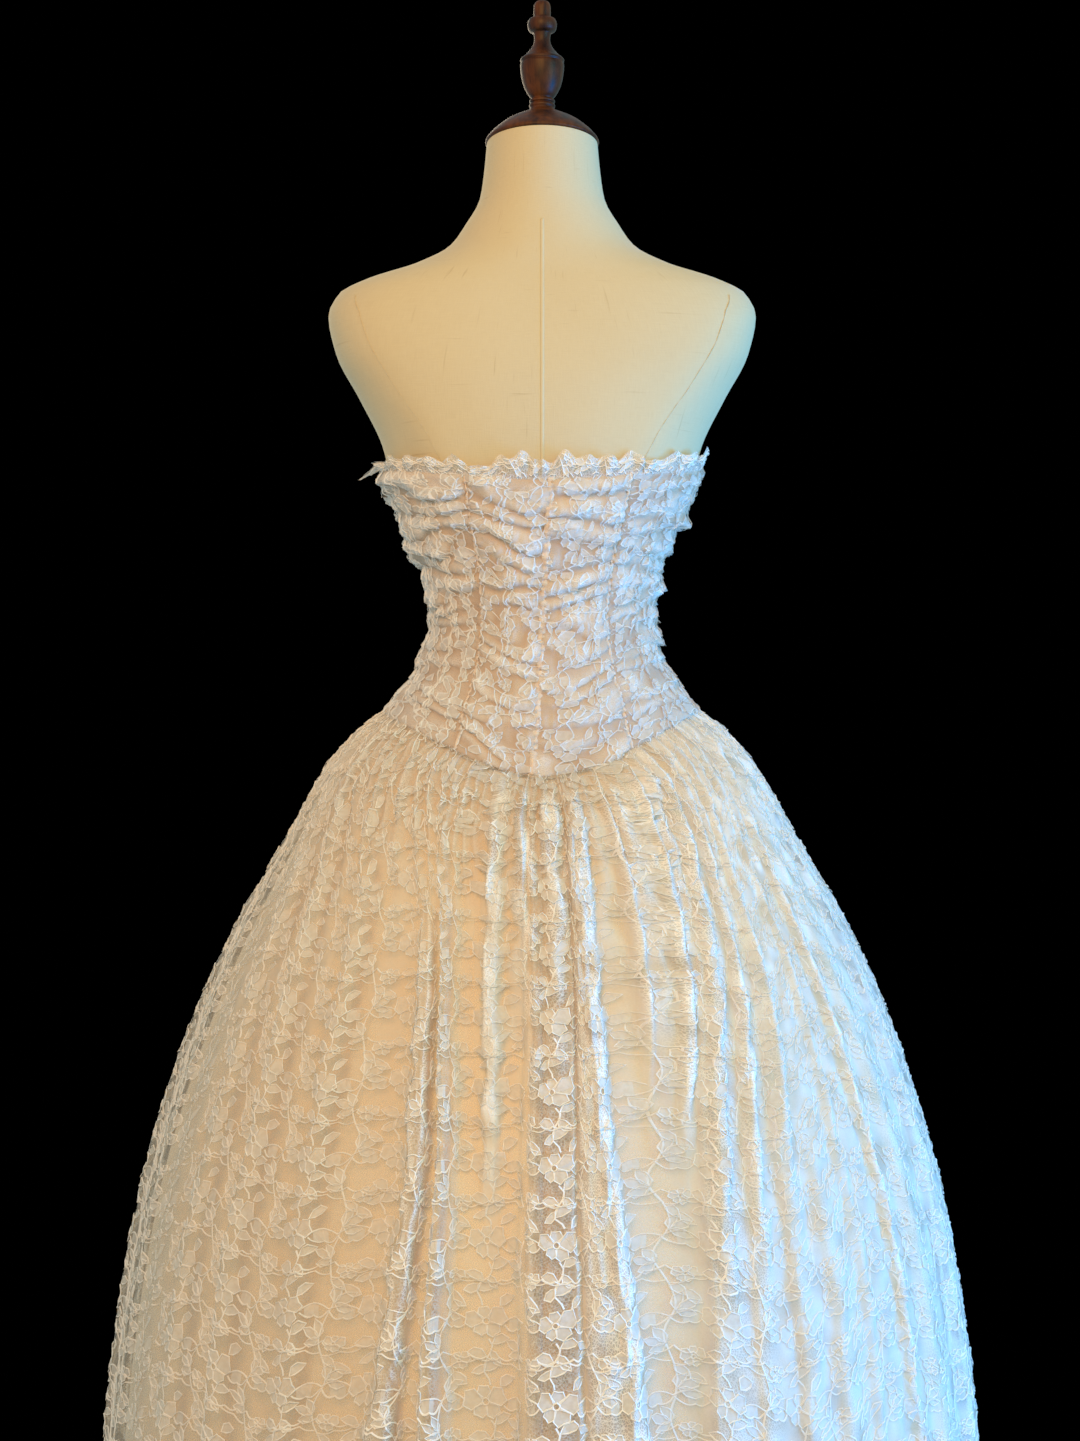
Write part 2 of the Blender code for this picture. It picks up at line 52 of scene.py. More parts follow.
Section = namedtuple("Section", "z half_width back front square")
FIGURE = (
    Section(z=0.800, half_width=0.146, back=0.104, front=0.088, square=2.1),
    Section(z=0.850, half_width=0.154, back=0.114, front=0.092, square=2.1),
    Section(z=0.920, half_width=0.152, back=0.110, front=0.094, square=2.1),
    Section(z=0.980, half_width=0.139, back=0.097, front=0.092, square=2.1),
    Section(z=1.020, half_width=0.110, back=0.084, front=0.087, square=2.1),
    Section(z=1.065, half_width=0.098, back=0.078, front=0.084, square=2.1),
    Section(z=1.105, half_width=0.102, back=0.083, front=0.090, square=2.1),
    Section(z=1.150, half_width=0.120, back=0.093, front=0.101, square=2.2),
    Section(z=1.190, half_width=0.139, back=0.100, front=0.110, square=2.3),
    Section(z=1.225, half_width=0.148, back=0.103, front=0.108, square=2.4),
    Section(z=1.270, half_width=0.170, back=0.101, front=0.096, square=2.5),
    Section(z=1.310, half_width=0.191, back=0.094, front=0.083, square=2.6),
    Section(z=1.345, half_width=0.198, back=0.084, front=0.071, square=2.6),
    Section(z=1.365, half_width=0.189, back=0.077, front=0.064, square=2.5),
    Section(z=1.378, half_width=0.165, back=0.072, front=0.059, square=2.3),
    Section(z=1.392, half_width=0.122, back=0.068, front=0.055, square=2.1),
    Section(z=1.410, half_width=0.087, back=0.063, front=0.052, square=2.0),
    Section(z=1.430, half_width=0.072, back=0.057, front=0.050, square=2.0),
    Section(z=1.455, half_width=0.058, back=0.053, front=0.051, square=2.0),
    Section(z=1.480, half_width=0.054, back=0.052, front=0.052, square=2.0),
    Section(z=1.506, half_width=0.0515, back=0.0515, front=0.0515, square=2.0),
)
BUST_Z = 1.200
BUST_HEIGHT = 0.052
BUST_ANGLE = 33.0
BUST_SPREAD = 26.0
BUST_FULLNESS = 0.019
NECK_TILT = 0.105
NECK_TILT_FROM_Z = 1.450
BACK_NECK_Z = FIGURE[-1].z

# The line of the armhole join: its angle at each height, from under the arm to the shoulder.
ArmJoin = namedtuple("ArmJoin", "z angle")
ARMHOLE = (
    ArmJoin(z=1.150, angle=36.0),
    ArmJoin(z=1.193, angle=44.0),
    ArmJoin(z=1.230, angle=51.0),
    ArmJoin(z=1.266, angle=59.0),
    ArmJoin(z=1.310, angle=66.0),
    ArmJoin(z=1.341, angle=70.0),
    ArmJoin(z=1.358, angle=74.0),
)
ARMHOLE_RIDGE = 0.0030
ARMHOLE_RIDGE_SPREAD = 9.0


def smoothstep(value):
    """Rises smoothly from 0 at nought to 1 at one."""
    held = np.clip(value, 0.0, 1.0)
    return held * held * (3.0 - 2.0 * held)


def through(rows, along, column, x):
    """A table's column read at x, on a curve through its rows that never overshoots."""
    xs = np.array([getattr(row, along) for row in rows])
    ys = np.array([getattr(row, column) for row in rows])
    rise = np.diff(ys) / np.diff(xs)
    slope = np.concatenate(([rise[0]], np.zeros(len(xs) - 2), [rise[-1]]))
    same = rise[:-1] * rise[1:] > 0.0
    total = np.where(same, rise[:-1] + rise[1:], 1.0)
    slope[1:-1] = np.where(same, 2.0 * rise[:-1] * rise[1:] / total, 0.0)
    held = np.clip(x, xs[0], xs[-1])
    i = np.clip(np.searchsorted(xs, held, side="right") - 1, 0, len(xs) - 2)
    span = xs[i + 1] - xs[i]
    t = (held - xs[i]) / span
    start = ys[i] * (1 + 2 * t) * (1 - t) ** 2 + slope[i] * span * t * (1 - t) ** 2
    end = ys[i + 1] * t * t * (3 - 2 * t) + slope[i + 1] * span * t * t * (t - 1)
    return start + end


def from_front(angle):
    """Degrees from the centre front, negative on the wearer's right."""
    return np.mod(angle, 360.0) - 180.0


def from_back(angle):
    """Degrees from the centre back, negative on the wearer's left."""
    return np.mod(angle + 180.0, 360.0) - 180.0


def figure_radius(angle, z):
    """Distance from the pole's axis to the form's surface."""
    turn = np.radians(angle)
    width = through(FIGURE, "z", "half_width", z)
    back = through(FIGURE, "z", "back", z)
    front = through(FIGURE, "z", "front", z)
    depth = np.where(np.cos(turn) > 0.0, back, front)
    power = through(FIGURE, "z", "square", z)
    across = np.abs(np.sin(turn) / width) ** power + np.abs(np.cos(turn) / depth) ** power
    cup = np.exp(-(((np.abs(from_front(angle)) - BUST_ANGLE) / BUST_SPREAD) ** 2))
    cup_height = np.exp(-(((z - BUST_Z) / BUST_HEIGHT) ** 2))
    return across ** (-1.0 / power) + BUST_FULLNESS * cup * cup_height


def armhole_ridge(angle, z):
    """How far the form stands out along the join between its back and its arm plates."""
    line = through(ARMHOLE, "z", "angle", z)
    side = np.abs(from_back(angle))
    near = np.exp(-(((side - line) / ARMHOLE_RIDGE_SPREAD) ** 2))
    inside = smoothstep((z - 1.16) / 0.05) * (1.0 - smoothstep((z - 1.335) / 0.03))
    return ARMHOLE_RIDGE * near * inside


def at(angle, radius, z):
    """Points at these angles from the centre back, distances from the axis and heights."""
    turn = np.radians(angle)
    x, y, height = np.broadcast_arrays(-radius * np.sin(turn), radius * np.cos(turn), z)
    return np.stack((x, y, height), axis=-1)


def form_surface(angle, z):
    """Points on the linen."""
    points = at(angle, figure_radius(angle, z) + armhole_ridge(angle, z), z)
    reach = BACK_NECK_Z - NECK_TILT_FROM_Z
    lift = points[..., 1] * NECK_TILT * smoothstep((points[..., 2] - NECK_TILT_FROM_Z) / reach)
    points[..., 2] = points[..., 2] + lift
    return points


def shown(mesh, name, material, smooth=True):
    """Puts a mesh in the scene as an object at the origin, in one material."""
    made = bpy.data.objects.new(name, mesh)
    bpy.context.scene.collection.objects.link(made)
    mesh.name = name
    mesh.materials.clear()
    mesh.materials.append(material)
    if smooth:
        mesh.shade_smooth()
    return made


def sheet_mesh(points, uv=None, around=False):
    """A mesh through rows of points, top row first; each row runs towards the wearer's right."""
    rows, columns = points.shape[:2]
    index = np.arange(rows * columns).reshape(rows, columns)
    if around:
        index = np.concatenate((index, index[:, :1]), axis=1)
    corners = (index[:-1, :-1], index[1:, :-1], index[1:, 1:], index[:-1, 1:])
    faces = np.stack(corners, axis=-1).reshape(-1, 4)
    mesh = bpy.data.meshes.new("sheet")
    mesh.from_pydata(points.reshape(-1, 3).tolist(), [], faces.tolist())
    if uv is not None:
        layer = mesh.uv_layers.new(name="UVMap")
        layer.data.foreach_set("uv", uv.reshape(-1, 2)[faces.reshape(-1)].ravel())
    return mesh


def closed_ends(mesh, merged=False):
    """Fills the open rings at both ends of a tube-like mesh; merged joins the points that meet."""
    shape = bmesh.new()
    shape.from_mesh(mesh)
    if merged:
        bmesh.ops.remove_doubles(shape, verts=shape.verts, dist=0.00001)
    bmesh.ops.holes_fill(shape, edges=[e for e in shape.edges if e.is_boundary], sides=0)
    shape.to_mesh(mesh)
    shape.free()
    return mesh


def new_material(name, colour, roughness, sheen=0.0, coat=0.0, alpha=1.0, metallic=0.0):
    """A Principled material; its shader node is returned with it."""
    made = bpy.data.materials.new(name)
    made.use_nodes = True
    made.diffuse_color = (*colour, 1.0)
    shader = made.node_tree.nodes["Principled BSDF"]
    shader.inputs["Base Color"].default_value = (*colour, 1.0)
    shader.inputs["Roughness"].default_value = roughness
    shader.inputs["Sheen Weight"].default_value = sheen
    shader.inputs["Coat Weight"].default_value = coat
    shader.inputs["Alpha"].default_value = alpha
    shader.inputs["Metallic"].default_value = metallic
    return made, shader


def group_sockets(tree, ins, outs):
    """Adds named sockets to a node group and returns its input and output nodes."""
    for name, kind, value in ins:
        socket = tree.interface.new_socket(name=name, in_out="INPUT", socket_type=kind)
        if value is not None:
            socket.default_value = value
    for name, kind in outs:
        tree.interface.new_socket(name=name, in_out="OUTPUT", socket_type=kind)
    return tree.nodes.new("NodeGroupInput"), tree.nodes.new("NodeGroupOutput")


def node(tree, kind, **values):
    """Adds a node; values name its properties, or its inputs where it has such an input."""
    made = tree.nodes.new(kind)
    for name, value in values.items():
        if hasattr(made, name):
            setattr(made, name, value)
        else:
            made.inputs[name.replace("_", " ")].default_value = value
    return made


def weave_group():
    """Plain weave: thin threads both ways, with a few thick slubs and darker flecks, and painted shade
    down between the threads.
    """
    tree = bpy.data.node_groups.new("plain_weave", "ShaderNodeTree")
    ins = [
        ("Vector", "NodeSocketVector", None),
        ("Cloth", "NodeSocketColor", (0.8, 0.7, 0.5, 1.0)),
        ("Slub", "NodeSocketColor", (0.6, 0.5, 0.35, 1.0)),
        ("Thread pitch", "NodeSocketFloat", 0.0009),
    ]
    given, result = group_sockets(
        tree, ins, [("Color", "NodeSocketColor"), ("Height", "NodeSocketFloat")]
    )
    link = tree.links.new
    per_metre = node(tree, "ShaderNodeMath", operation="DIVIDE")
    per_metre.inputs[0].default_value = 1.0
    link(given.outputs["Thread pitch"], per_metre.inputs[1])
    threads = []
    slubs = []
    for across in ((1.0, 0.07, 1.0), (0.07, 1.0, 1.0)):
        turned = node(tree, "ShaderNodeMapping", vector_type="POINT")
        turned.inputs["Scale"].default_value = across
        link(given.outputs["Vector"], turned.inputs["Vector"])
        fine = node(tree, "ShaderNodeTexNoise", Detail=2.0, Roughness=0.6)
        link(turned.outputs["Vector"], fine.inputs["Vector"])
        link(per_metre.outputs[0], fine.inputs["Scale"])
        threads.append(fine)
        thick = node(tree, "ShaderNodeTexNoise", Scale=260.0, Detail=1.0, Roughness=0.4)
        link(turned.outputs["Vector"], thick.inputs["Vector"])
        only_few = node(tree, "ShaderNodeMapRange", interpolation_type="SMOOTHSTEP")
        only_few.inputs["From Min"].default_value = 0.68
        only_few.inputs["From Max"].default_value = 0.84
        link(thick.outputs["Fac"], only_few.inputs["Value"])
        slubs.append(only_few)
    both = node(tree, "ShaderNodeMath", operation="ADD")
    link(threads[0].outputs["Fac"], both.inputs[0])
    link(threads[1].outputs["Fac"], both.inputs[1])
    any_slub = node(tree, "ShaderNodeMath", operation="MAXIMUM")
    link(slubs[0].outputs["Result"], any_slub.inputs[0])
    link(slubs[1].outputs["Result"], any_slub.inputs[1])
    cloudy = node(tree, "ShaderNodeTexNoise", Scale=9.0, Detail=2.0)
    link(given.outputs["Vector"], cloudy.inputs["Vector"])
    # Painted shade: the cloth darkens towards the slub colour where the threads lie low, between them.
    depth = node(tree, "ShaderNodeMapRange")
    depth.inputs["From Min"].default_value = 0.6
    depth.inputs["From Max"].default_value = 1.5
    depth.inputs["To Min"].default_value = 0.30
    depth.inputs["To Max"].default_value = 0.0
    link(both.outputs[0], depth.inputs["Value"])
    amount = node(tree, "ShaderNodeMath", operation="MULTIPLY_ADD", use_clamp=True)
    link(any_slub.outputs[0], amount.inputs[0])
    amount.inputs[1].default_value = 0.45
    link(depth.outputs["Result"], amount.inputs[2])
    patchy = node(tree, "ShaderNodeMath", operation="MULTIPLY_ADD", use_clamp=True)
    link(cloudy.outputs["Fac"], patchy.inputs[0])
    patchy.inputs[1].default_value = 0.18
    link(amount.outputs[0], patchy.inputs[2])
    mixed = node(tree, "ShaderNodeMix", data_type="RGBA")
    link(patchy.outputs[0], mixed.inputs["Factor"])
    link(given.outputs["Cloth"], mixed.inputs["A"])
    link(given.outputs["Slub"], mixed.inputs["B"])
    link(mixed.outputs["Result"], result.inputs["Color"])
    link(both.outputs[0], result.inputs["Height"])
    return tree


PLAIN_WEAVE = weave_group()


def linen_material(name, cloth, slub):
    """Undyed linen in a plain weave, with soft sheen."""
    made, shader = new_material(name, cloth, roughness=0.85, sheen=0.25)
    tree = made.node_tree
    flat = node(tree, "ShaderNodeUVMap", uv_map="UVMap")
    weave = node(tree, "ShaderNodeGroup", node_tree=PLAIN_WEAVE)
    weave.inputs["Cloth"].default_value = (*cloth, 1.0)
    weave.inputs["Slub"].default_value = (*slub, 1.0)
    tree.links.new(flat.outputs["UV"], weave.inputs["Vector"])
    tree.links.new(weave.outputs["Color"], shader.inputs["Base Color"])
    bump = node(tree, "ShaderNodeBump", Strength=0.35, Distance=0.0004)
    tree.links.new(weave.outputs["Height"], bump.inputs["Height"])
    tree.links.new(bump.outputs["Normal"], shader.inputs["Normal"])
    return made


LINEN = linen_material("linen_cover", cloth=(0.74, 0.60, 0.365), slub=(0.53, 0.39, 0.205))
WELT_LINEN = linen_material("linen_welt", cloth=(0.75, 0.62, 0.385), slub=(0.55, 0.42, 0.24))

FORM_COLUMNS = 120
FORM_ROWS = 96

fine_z = np.linspace(FIGURE[-1].z, FIGURE[0].z, 2000)
fine_width = through(FIGURE, "z", "half_width", fine_z)
run = np.concatenate(([0.0], np.cumsum(np.hypot(np.diff(fine_z), np.diff(fine_width)))))
form_z = np.interp(np.linspace(0.0, run[-1], FORM_ROWS), run, fine_z)[:, None]
form_run = np.linspace(0.0, run[-1], FORM_ROWS)[:, None]
form_angle = np.linspace(-180.0, 180.0, FORM_COLUMNS + 1)[None, :]
form_uv = np.stack(np.broadcast_arrays(form_angle / 360.0 * 0.85, -form_run), axis=-1)
torso_mesh = sheet_mesh(form_surface(form_angle, form_z), form_uv)
torso = shown(closed_ends(torso_mesh, merged=True), "form_cover", LINEN)
torso.data.set_sharp_from_angle(angle=math.radians(60))
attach(torso, "root")
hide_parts("form_torso")


def welt(name, angles, heights, width, rise, samples=160):
    """A narrow rounded strip that follows a line of angles and heights over the linen."""
    t = np.linspace(0.0, 1.0, len(angles))
    even = np.linspace(0.0, 1.0, samples)
    middle = form_surface(np.interp(even, t, angles), np.interp(even, t, heights))
    forward = np.gradient(middle, axis=0)
    outward = middle * np.array((1.0, 1.0, 0.0))
    outward = outward - forward * (
        (outward * forward).sum(-1) / (forward * forward).sum(-1)
    )[:, None]
    outward = outward / np.linalg.norm(outward, axis=-1)[:, None]
    side = np.cross(forward, outward)
    side = side / np.linalg.norm(side, axis=-1)[:, None]
    turn = np.linspace(-math.pi, math.pi, 9)[None, :-1, None]
    ring = side[:, None] * np.sin(turn) * width / 2 + outward[:, None] * np.cos(turn) * rise
    points = middle[:, None] + ring
    spread = np.linspace(0.0, width, 8)[None, :]
    uv = np.stack(np.broadcast_arrays(spread, even[:, None] * 0.4), axis=-1)
    made = shown(closed_ends(sheet_mesh(points, uv, around=True)), name, WELT_LINEN)
    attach(made, "root")
    return made


FINE_WELT_WIDTH = 0.0010
FINE_WELT_RISE = 0.0001

centre_z = np.linspace(1.425, 1.155, 8)
for side, angle in (("back", 0.0), ("front", 180.0)):
    welt("form_welt_" + side, [angle] * 8, centre_z, width=0.0034, rise=0.0005)
arm_z = [row.z for row in ARMHOLE]
arm_angle = np.array([row.angle for row in ARMHOLE])
for side, way in (("right", 1.0), ("left", -1.0)):
    welt("form_welt_arm_" + side, way * arm_angle, arm_z, FINE_WELT_WIDTH, FINE_WELT_RISE)
shoulder_z = np.linspace(1.345, 1.432, 9)
for side, angle in (("right", 88.0), ("left", -88.0)):
    name = "form_welt_shoulder_" + side
    welt(name, [angle] * 9, shoulder_z, FINE_WELT_WIDTH, FINE_WELT_RISE)

# ---- The neck cap and finial --------------------------------------------------------------------
# Dark stained, varnished wood: a dished cap turned to sit on the sloping neck, and a finial
# turned in one piece with beads, a waisted neck and an urn, screwed down through the cap.

Turn = namedtuple("Turn", "radius height")
FINIAL = (
    Turn(radius=0.0000, height=0.1345),
    Turn(radius=0.0052, height=0.1340),
    Turn(radius=0.0076, height=0.1310),
    Turn(radius=0.0080, height=0.1260),
    Turn(radius=0.0078, height=0.1190),
    Turn(radius=0.0086, height=0.1182),
    Turn(radius=0.0126, height=0.1172),
    Turn(radius=0.0141, height=0.1115),
    Turn(radius=0.0124, height=0.1058),
    Turn(radius=0.0082, height=0.1046),
    Turn(radius=0.0079, height=0.1030),
    Turn(radius=0.0073, height=0.0990),
    Turn(radius=0.0078, height=0.0945),
    Turn(radius=0.0104, height=0.0895),
    Turn(radius=0.0158, height=0.0832),
    Turn(radius=0.0200, height=0.0803),
    Turn(radius=0.0207, height=0.0786),
    Turn(radius=0.0197, height=0.0772),
    Turn(radius=0.0195, height=0.0764),
    Turn(radius=0.0205, height=0.0755),
    Turn(radius=0.0203, height=0.0690),
    Turn(radius=0.0183, height=0.0570),
    Turn(radius=0.0136, height=0.0470),
    Turn(radius=0.0101, height=0.0436),
    Turn(radius=0.0101, height=0.0424),
    Turn(radius=0.0119, height=0.0417),
    Turn(radius=0.0119, height=0.0399),
    Turn(radius=0.0106, height=0.0391),
    Turn(radius=0.0106, height=0.0384),
    Turn(radius=0.0121, height=0.0376),
    Turn(radius=0.0121, height=0.0357),
    Turn(radius=0.0112, height=0.0345),
    Turn(radius=0.0126, height=0.0322),
    Turn(radius=0.0155, height=0.0300),
)
CAP = (
    Turn(radius=0.0000, height=0.0299),
    Turn(radius=0.0170, height=0.0299),
    Turn(radius=0.0200, height=0.0290),
    Turn(radius=0.0330, height=0.0226),
    Turn(radius=0.0460, height=0.0112),
    Turn(radius=0.0512, height=0.0052),
    Turn(radius=0.0529, height=0.0028),
    Turn(radius=0.0529, height=0.0012),
    Turn(radius=0.0515, height=0.0004),
)
TURNED_STEPS = 48


def rounded(profile, times):
    """Cuts the corners of a profile so that it runs in smooth beads and hollows."""
    line = np.array(profile)
    for _ in range(times):
        early = 0.75 * line[:-1] + 0.25 * line[1:]
        late = 0.25 * line[:-1] + 0.75 * line[1:]
        inner = np.stack((early, late), axis=1).reshape(-1, line.shape[1])
        line = np.concatenate((line[:1], inner[1:-1], line[-1:]))
    return line


def turned(name, profile, base_z, material, slope=0.0):
    """Spins a profile round the pole's axis; slope tilts what lies further out."""
    line = rounded([(row.radius, row.height) for row in profile], times=2)
    angle = np.linspace(0.0, 360.0, TURNED_STEPS, endpoint=False)[None, :]
    points = at(angle, line[:, :1], base_z + line[:, 1:])
    outer = smoothstep((line[:, :1] - 0.020) / (line[:, 0].max() - 0.020 + 1e-9))
    points[..., 2] = points[..., 2] + points[..., 1] * slope * outer
    made = shown(closed_ends(sheet_mesh(points, around=True), merged=True), name, material)
    made.data.set_sharp_from_angle(angle=math.radians(50))
    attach(made, "root")
    return made


def wood_material(name, dark, light):
    """Straight-grained wood under a worn varnish."""
    made, shader = new_material(name, dark, roughness=0.4)
    shader.inputs["Specular IOR Level"].default_value = 0.25
    tree = made.node_tree
    link = tree.links.new
    place = node(tree, "ShaderNodeTexCoord")
    along = node(tree, "ShaderNodeMapping")
    along.inputs["Scale"].default_value = (140.0, 140.0, 9.0)
    link(place.outputs["Object"], along.inputs["Vector"])
    grain = node(tree, "ShaderNodeTexNoise", Scale=1.0, Detail=5.0, Roughness=0.65)
    link(along.outputs["Vector"], grain.inputs["Vector"])
    worn = node(tree, "ShaderNodeTexNoise", Scale=38.0, Detail=3.0)
    link(place.outputs["Object"], worn.inputs["Vector"])
    both = node(tree, "ShaderNodeMath", operation="MULTIPLY")
    link(grain.outputs["Fac"], both.inputs[0])
    link(worn.outputs["Fac"], both.inputs[1])
    ramp = node(tree, "ShaderNodeValToRGB")
    ramp.color_ramp.elements[0].position = 0.14
    ramp.color_ramp.elements[0].color = (*dark, 1.0)
    ramp.color_ramp.elements[1].position = 0.42
    ramp.color_ramp.elements[1].color = (*light, 1.0)
    link(both.outputs[0], ramp.inputs["Fac"])
    link(ramp.outputs["Color"], shader.inputs["Base Color"])
    rough = node(tree, "ShaderNodeMapRange")
    rough.inputs["To Min"].default_value = 0.30
    rough.inputs["To Max"].default_value = 0.60
    link(worn.outputs["Fac"], rough.inputs["Value"])
    link(rough.outputs["Result"], shader.inputs["Roughness"])
    bump = node(tree, "ShaderNodeBump", Strength=0.2, Distance=0.0004)
    link(grain.outputs["Fac"], bump.inputs["Height"])
    link(bump.outputs["Normal"], shader.inputs["Normal"])
    return made


DARK_WOOD = wood_material("dark_stained_wood", dark=(0.017, 0.004, 0.001), light=(0.145, 0.040, 0.006))

finial = turned("turned_finial", FINIAL, BACK_NECK_Z, DARK_WOOD)
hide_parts("form_finial")
cap = turned("turned_neck_cap", CAP, BACK_NECK_Z, DARK_WOOD, slope=NECK_TILT)
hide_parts("form_neck_cap")

# ---- The stand ----------------------------------------------------------------------------------
# A steel pole in a flat round foot, both powder-coated satin black and hidden under the skirt.
# Their shapes are the frame's own, and only the coating is added here.


def coated_steel():
    """Satin black powder coating with a faint orange peel."""
    made, shader = new_material("black_metal", (0.03, 0.03, 0.03), roughness=0.45, metallic=0.2)
    tree = made.node_tree
    place = node(tree, "ShaderNodeTexCoord")
    peel = node(tree, "ShaderNodeTexNoise", Scale=420.0, Detail=2.0)
    tree.links.new(place.outputs["Object"], peel.inputs["Vector"])
    rough = node(tree, "ShaderNodeMapRange")
    rough.inputs["To Min"].default_value = 0.36
    rough.inputs["To Max"].default_value = 0.58
    tree.links.new(peel.outputs["Fac"], rough.inputs["Value"])
    tree.links.new(rough.outputs["Result"], shader.inputs["Roughness"])
    bump = node(tree, "ShaderNodeBump", Strength=0.15, Distance=0.0002)
    tree.links.new(peel.outputs["Fac"], bump.inputs["Height"])
    tree.links.new(bump.outputs["Normal"], shader.inputs["Normal"])
    return made


BLACK_METAL = coated_steel()
for name in ("stand_pole", "stand_foot"):
    metal_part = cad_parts[name]
    metal_part.data.materials.clear()
    metal_part.data.materials.append(BLACK_METAL)

# ---- The lace overskirt's drape -----------------------------------------------------------------
# Five straight widths of lace, gathered by hand into the pointed waist seam. The gathers run
# together into folds, and every fold, and every column of flowers, follows one thread of the lace
# down from the waist. A thread is named by the angle at which it reaches the hem.

BASQUE_POINT_Z = 0.922
BASQUE_RISE = 0.058
EDGE_GAP = 0.0004
HEM_Z = 0.015
EASE = 0.0030
WAIST_STAND = 0.0065
HIP_SMOOTHING = 4.0
LACE_INSET = 0.0020  # how far the lace's hollows lie inside the bell
TURN_IN = 0.0055  # how far in, and how far up, the gathered edge goes under the bodice
TURN_UP = 0.0040

Ring = namedtuple("Ring", "fall radius")
BELL = (
    Ring(fall=0.000, radius=0.1465),
    Ring(fall=0.022, radius=0.1690),
    Ring(fall=0.055, radius=0.1955),
    Ring(fall=0.120, radius=0.2325),
    Ring(fall=0.210, radius=0.2820),
    Ring(fall=0.330, radius=0.3300),
    Ring(fall=0.480, radius=0.3700),
    Ring(fall=0.660, radius=0.3945),
    Ring(fall=0.830, radius=0.4060),
    Ring(fall=1.000, radius=0.4130),
)

# Angles that a thread passes at the waist and at two shares of its fall; it has come round to its
# hem angle at a third.
UPPER_AT = 0.15
MIDDLE_AT = 0.32
HEM_AT = 0.85
Thread = namedtuple("Thread", "hem waist upper middle")
THREADS = (
    Thread(hem=-180.0, waist=-180.0, upper=-180.0, middle=-180.0),
    Thread(hem=-168.0, waist=-156.0, upper=-163.0, middle=-166.0),
    Thread(hem=-152.0, waist=-128.0, upper=-144.0, middle=-150.0),
    Thread(hem=-135.0, waist=-109.0, upper=-126.0, middle=-132.0),
    Thread(hem=-110.0, waist=-97.0, upper=-105.0, middle=-109.0),
    Thread(hem=-90.0, waist=-90.0, upper=-90.0, middle=-90.0),
    Thread(hem=-70.0, waist=-83.0, upper=-75.0, middle=-71.5),
    Thread(hem=-45.0, waist=-71.0, upper=-54.0, middle=-48.0),
    Thread(hem=-30.0, waist=-57.0, upper=-37.0, middle=-32.0),
    Thread(hem=-20.6, waist=-42.5, upper=-22.0, middle=-17.2),
    Thread(hem=-10.4, waist=-30.0, upper=-17.4, middle=-12.8),
    Thread(hem=-5.6, waist=-13.5, upper=-10.0, middle=-7.4),
    Thread(hem=-1.9, waist=-5.0, upper=-2.2, middle=-2.1),
    Thread(hem=1.6, waist=1.0, upper=1.5, middle=1.5),
    Thread(hem=4.8, waist=6.5, upper=5.8, middle=4.6),
    Thread(hem=13.2, waist=9.0, upper=7.2, middle=7.7),
    Thread(hem=15.6, waist=14.0, upper=11.0, middle=10.1),
    Thread(hem=16.4, waist=19.0, upper=18.6, middle=14.6),
    Thread(hem=17.4, waist=29.0, upper=27.5, middle=20.4),
    Thread(hem=18.6, waist=37.0, upper=31.5, middle=22.4),
    Thread(hem=28.0, waist=49.0, upper=41.0, middle=32.0),
    Thread(hem=42.0, waist=58.0, upper=50.0, middle=45.0),
    Thread(hem=53.0, waist=65.0, upper=57.0, middle=54.0),
    Thread(hem=70.0, waist=77.0, upper=72.5, middle=71.0),
    Thread(hem=90.0, waist=90.0, upper=90.0, middle=90.0),
    Thread(hem=110.0, waist=97.0, upper=105.0, middle=109.0),
    Thread(hem=135.0, waist=109.0, upper=126.0, middle=132.0),
    Thread(hem=152.0, waist=128.0, upper=144.0, middle=150.0),
    Thread(hem=168.0, waist=156.0, upper=163.0, middle=166.0),
    Thread(hem=180.0, waist=180.0, upper=180.0, middle=180.0),
)

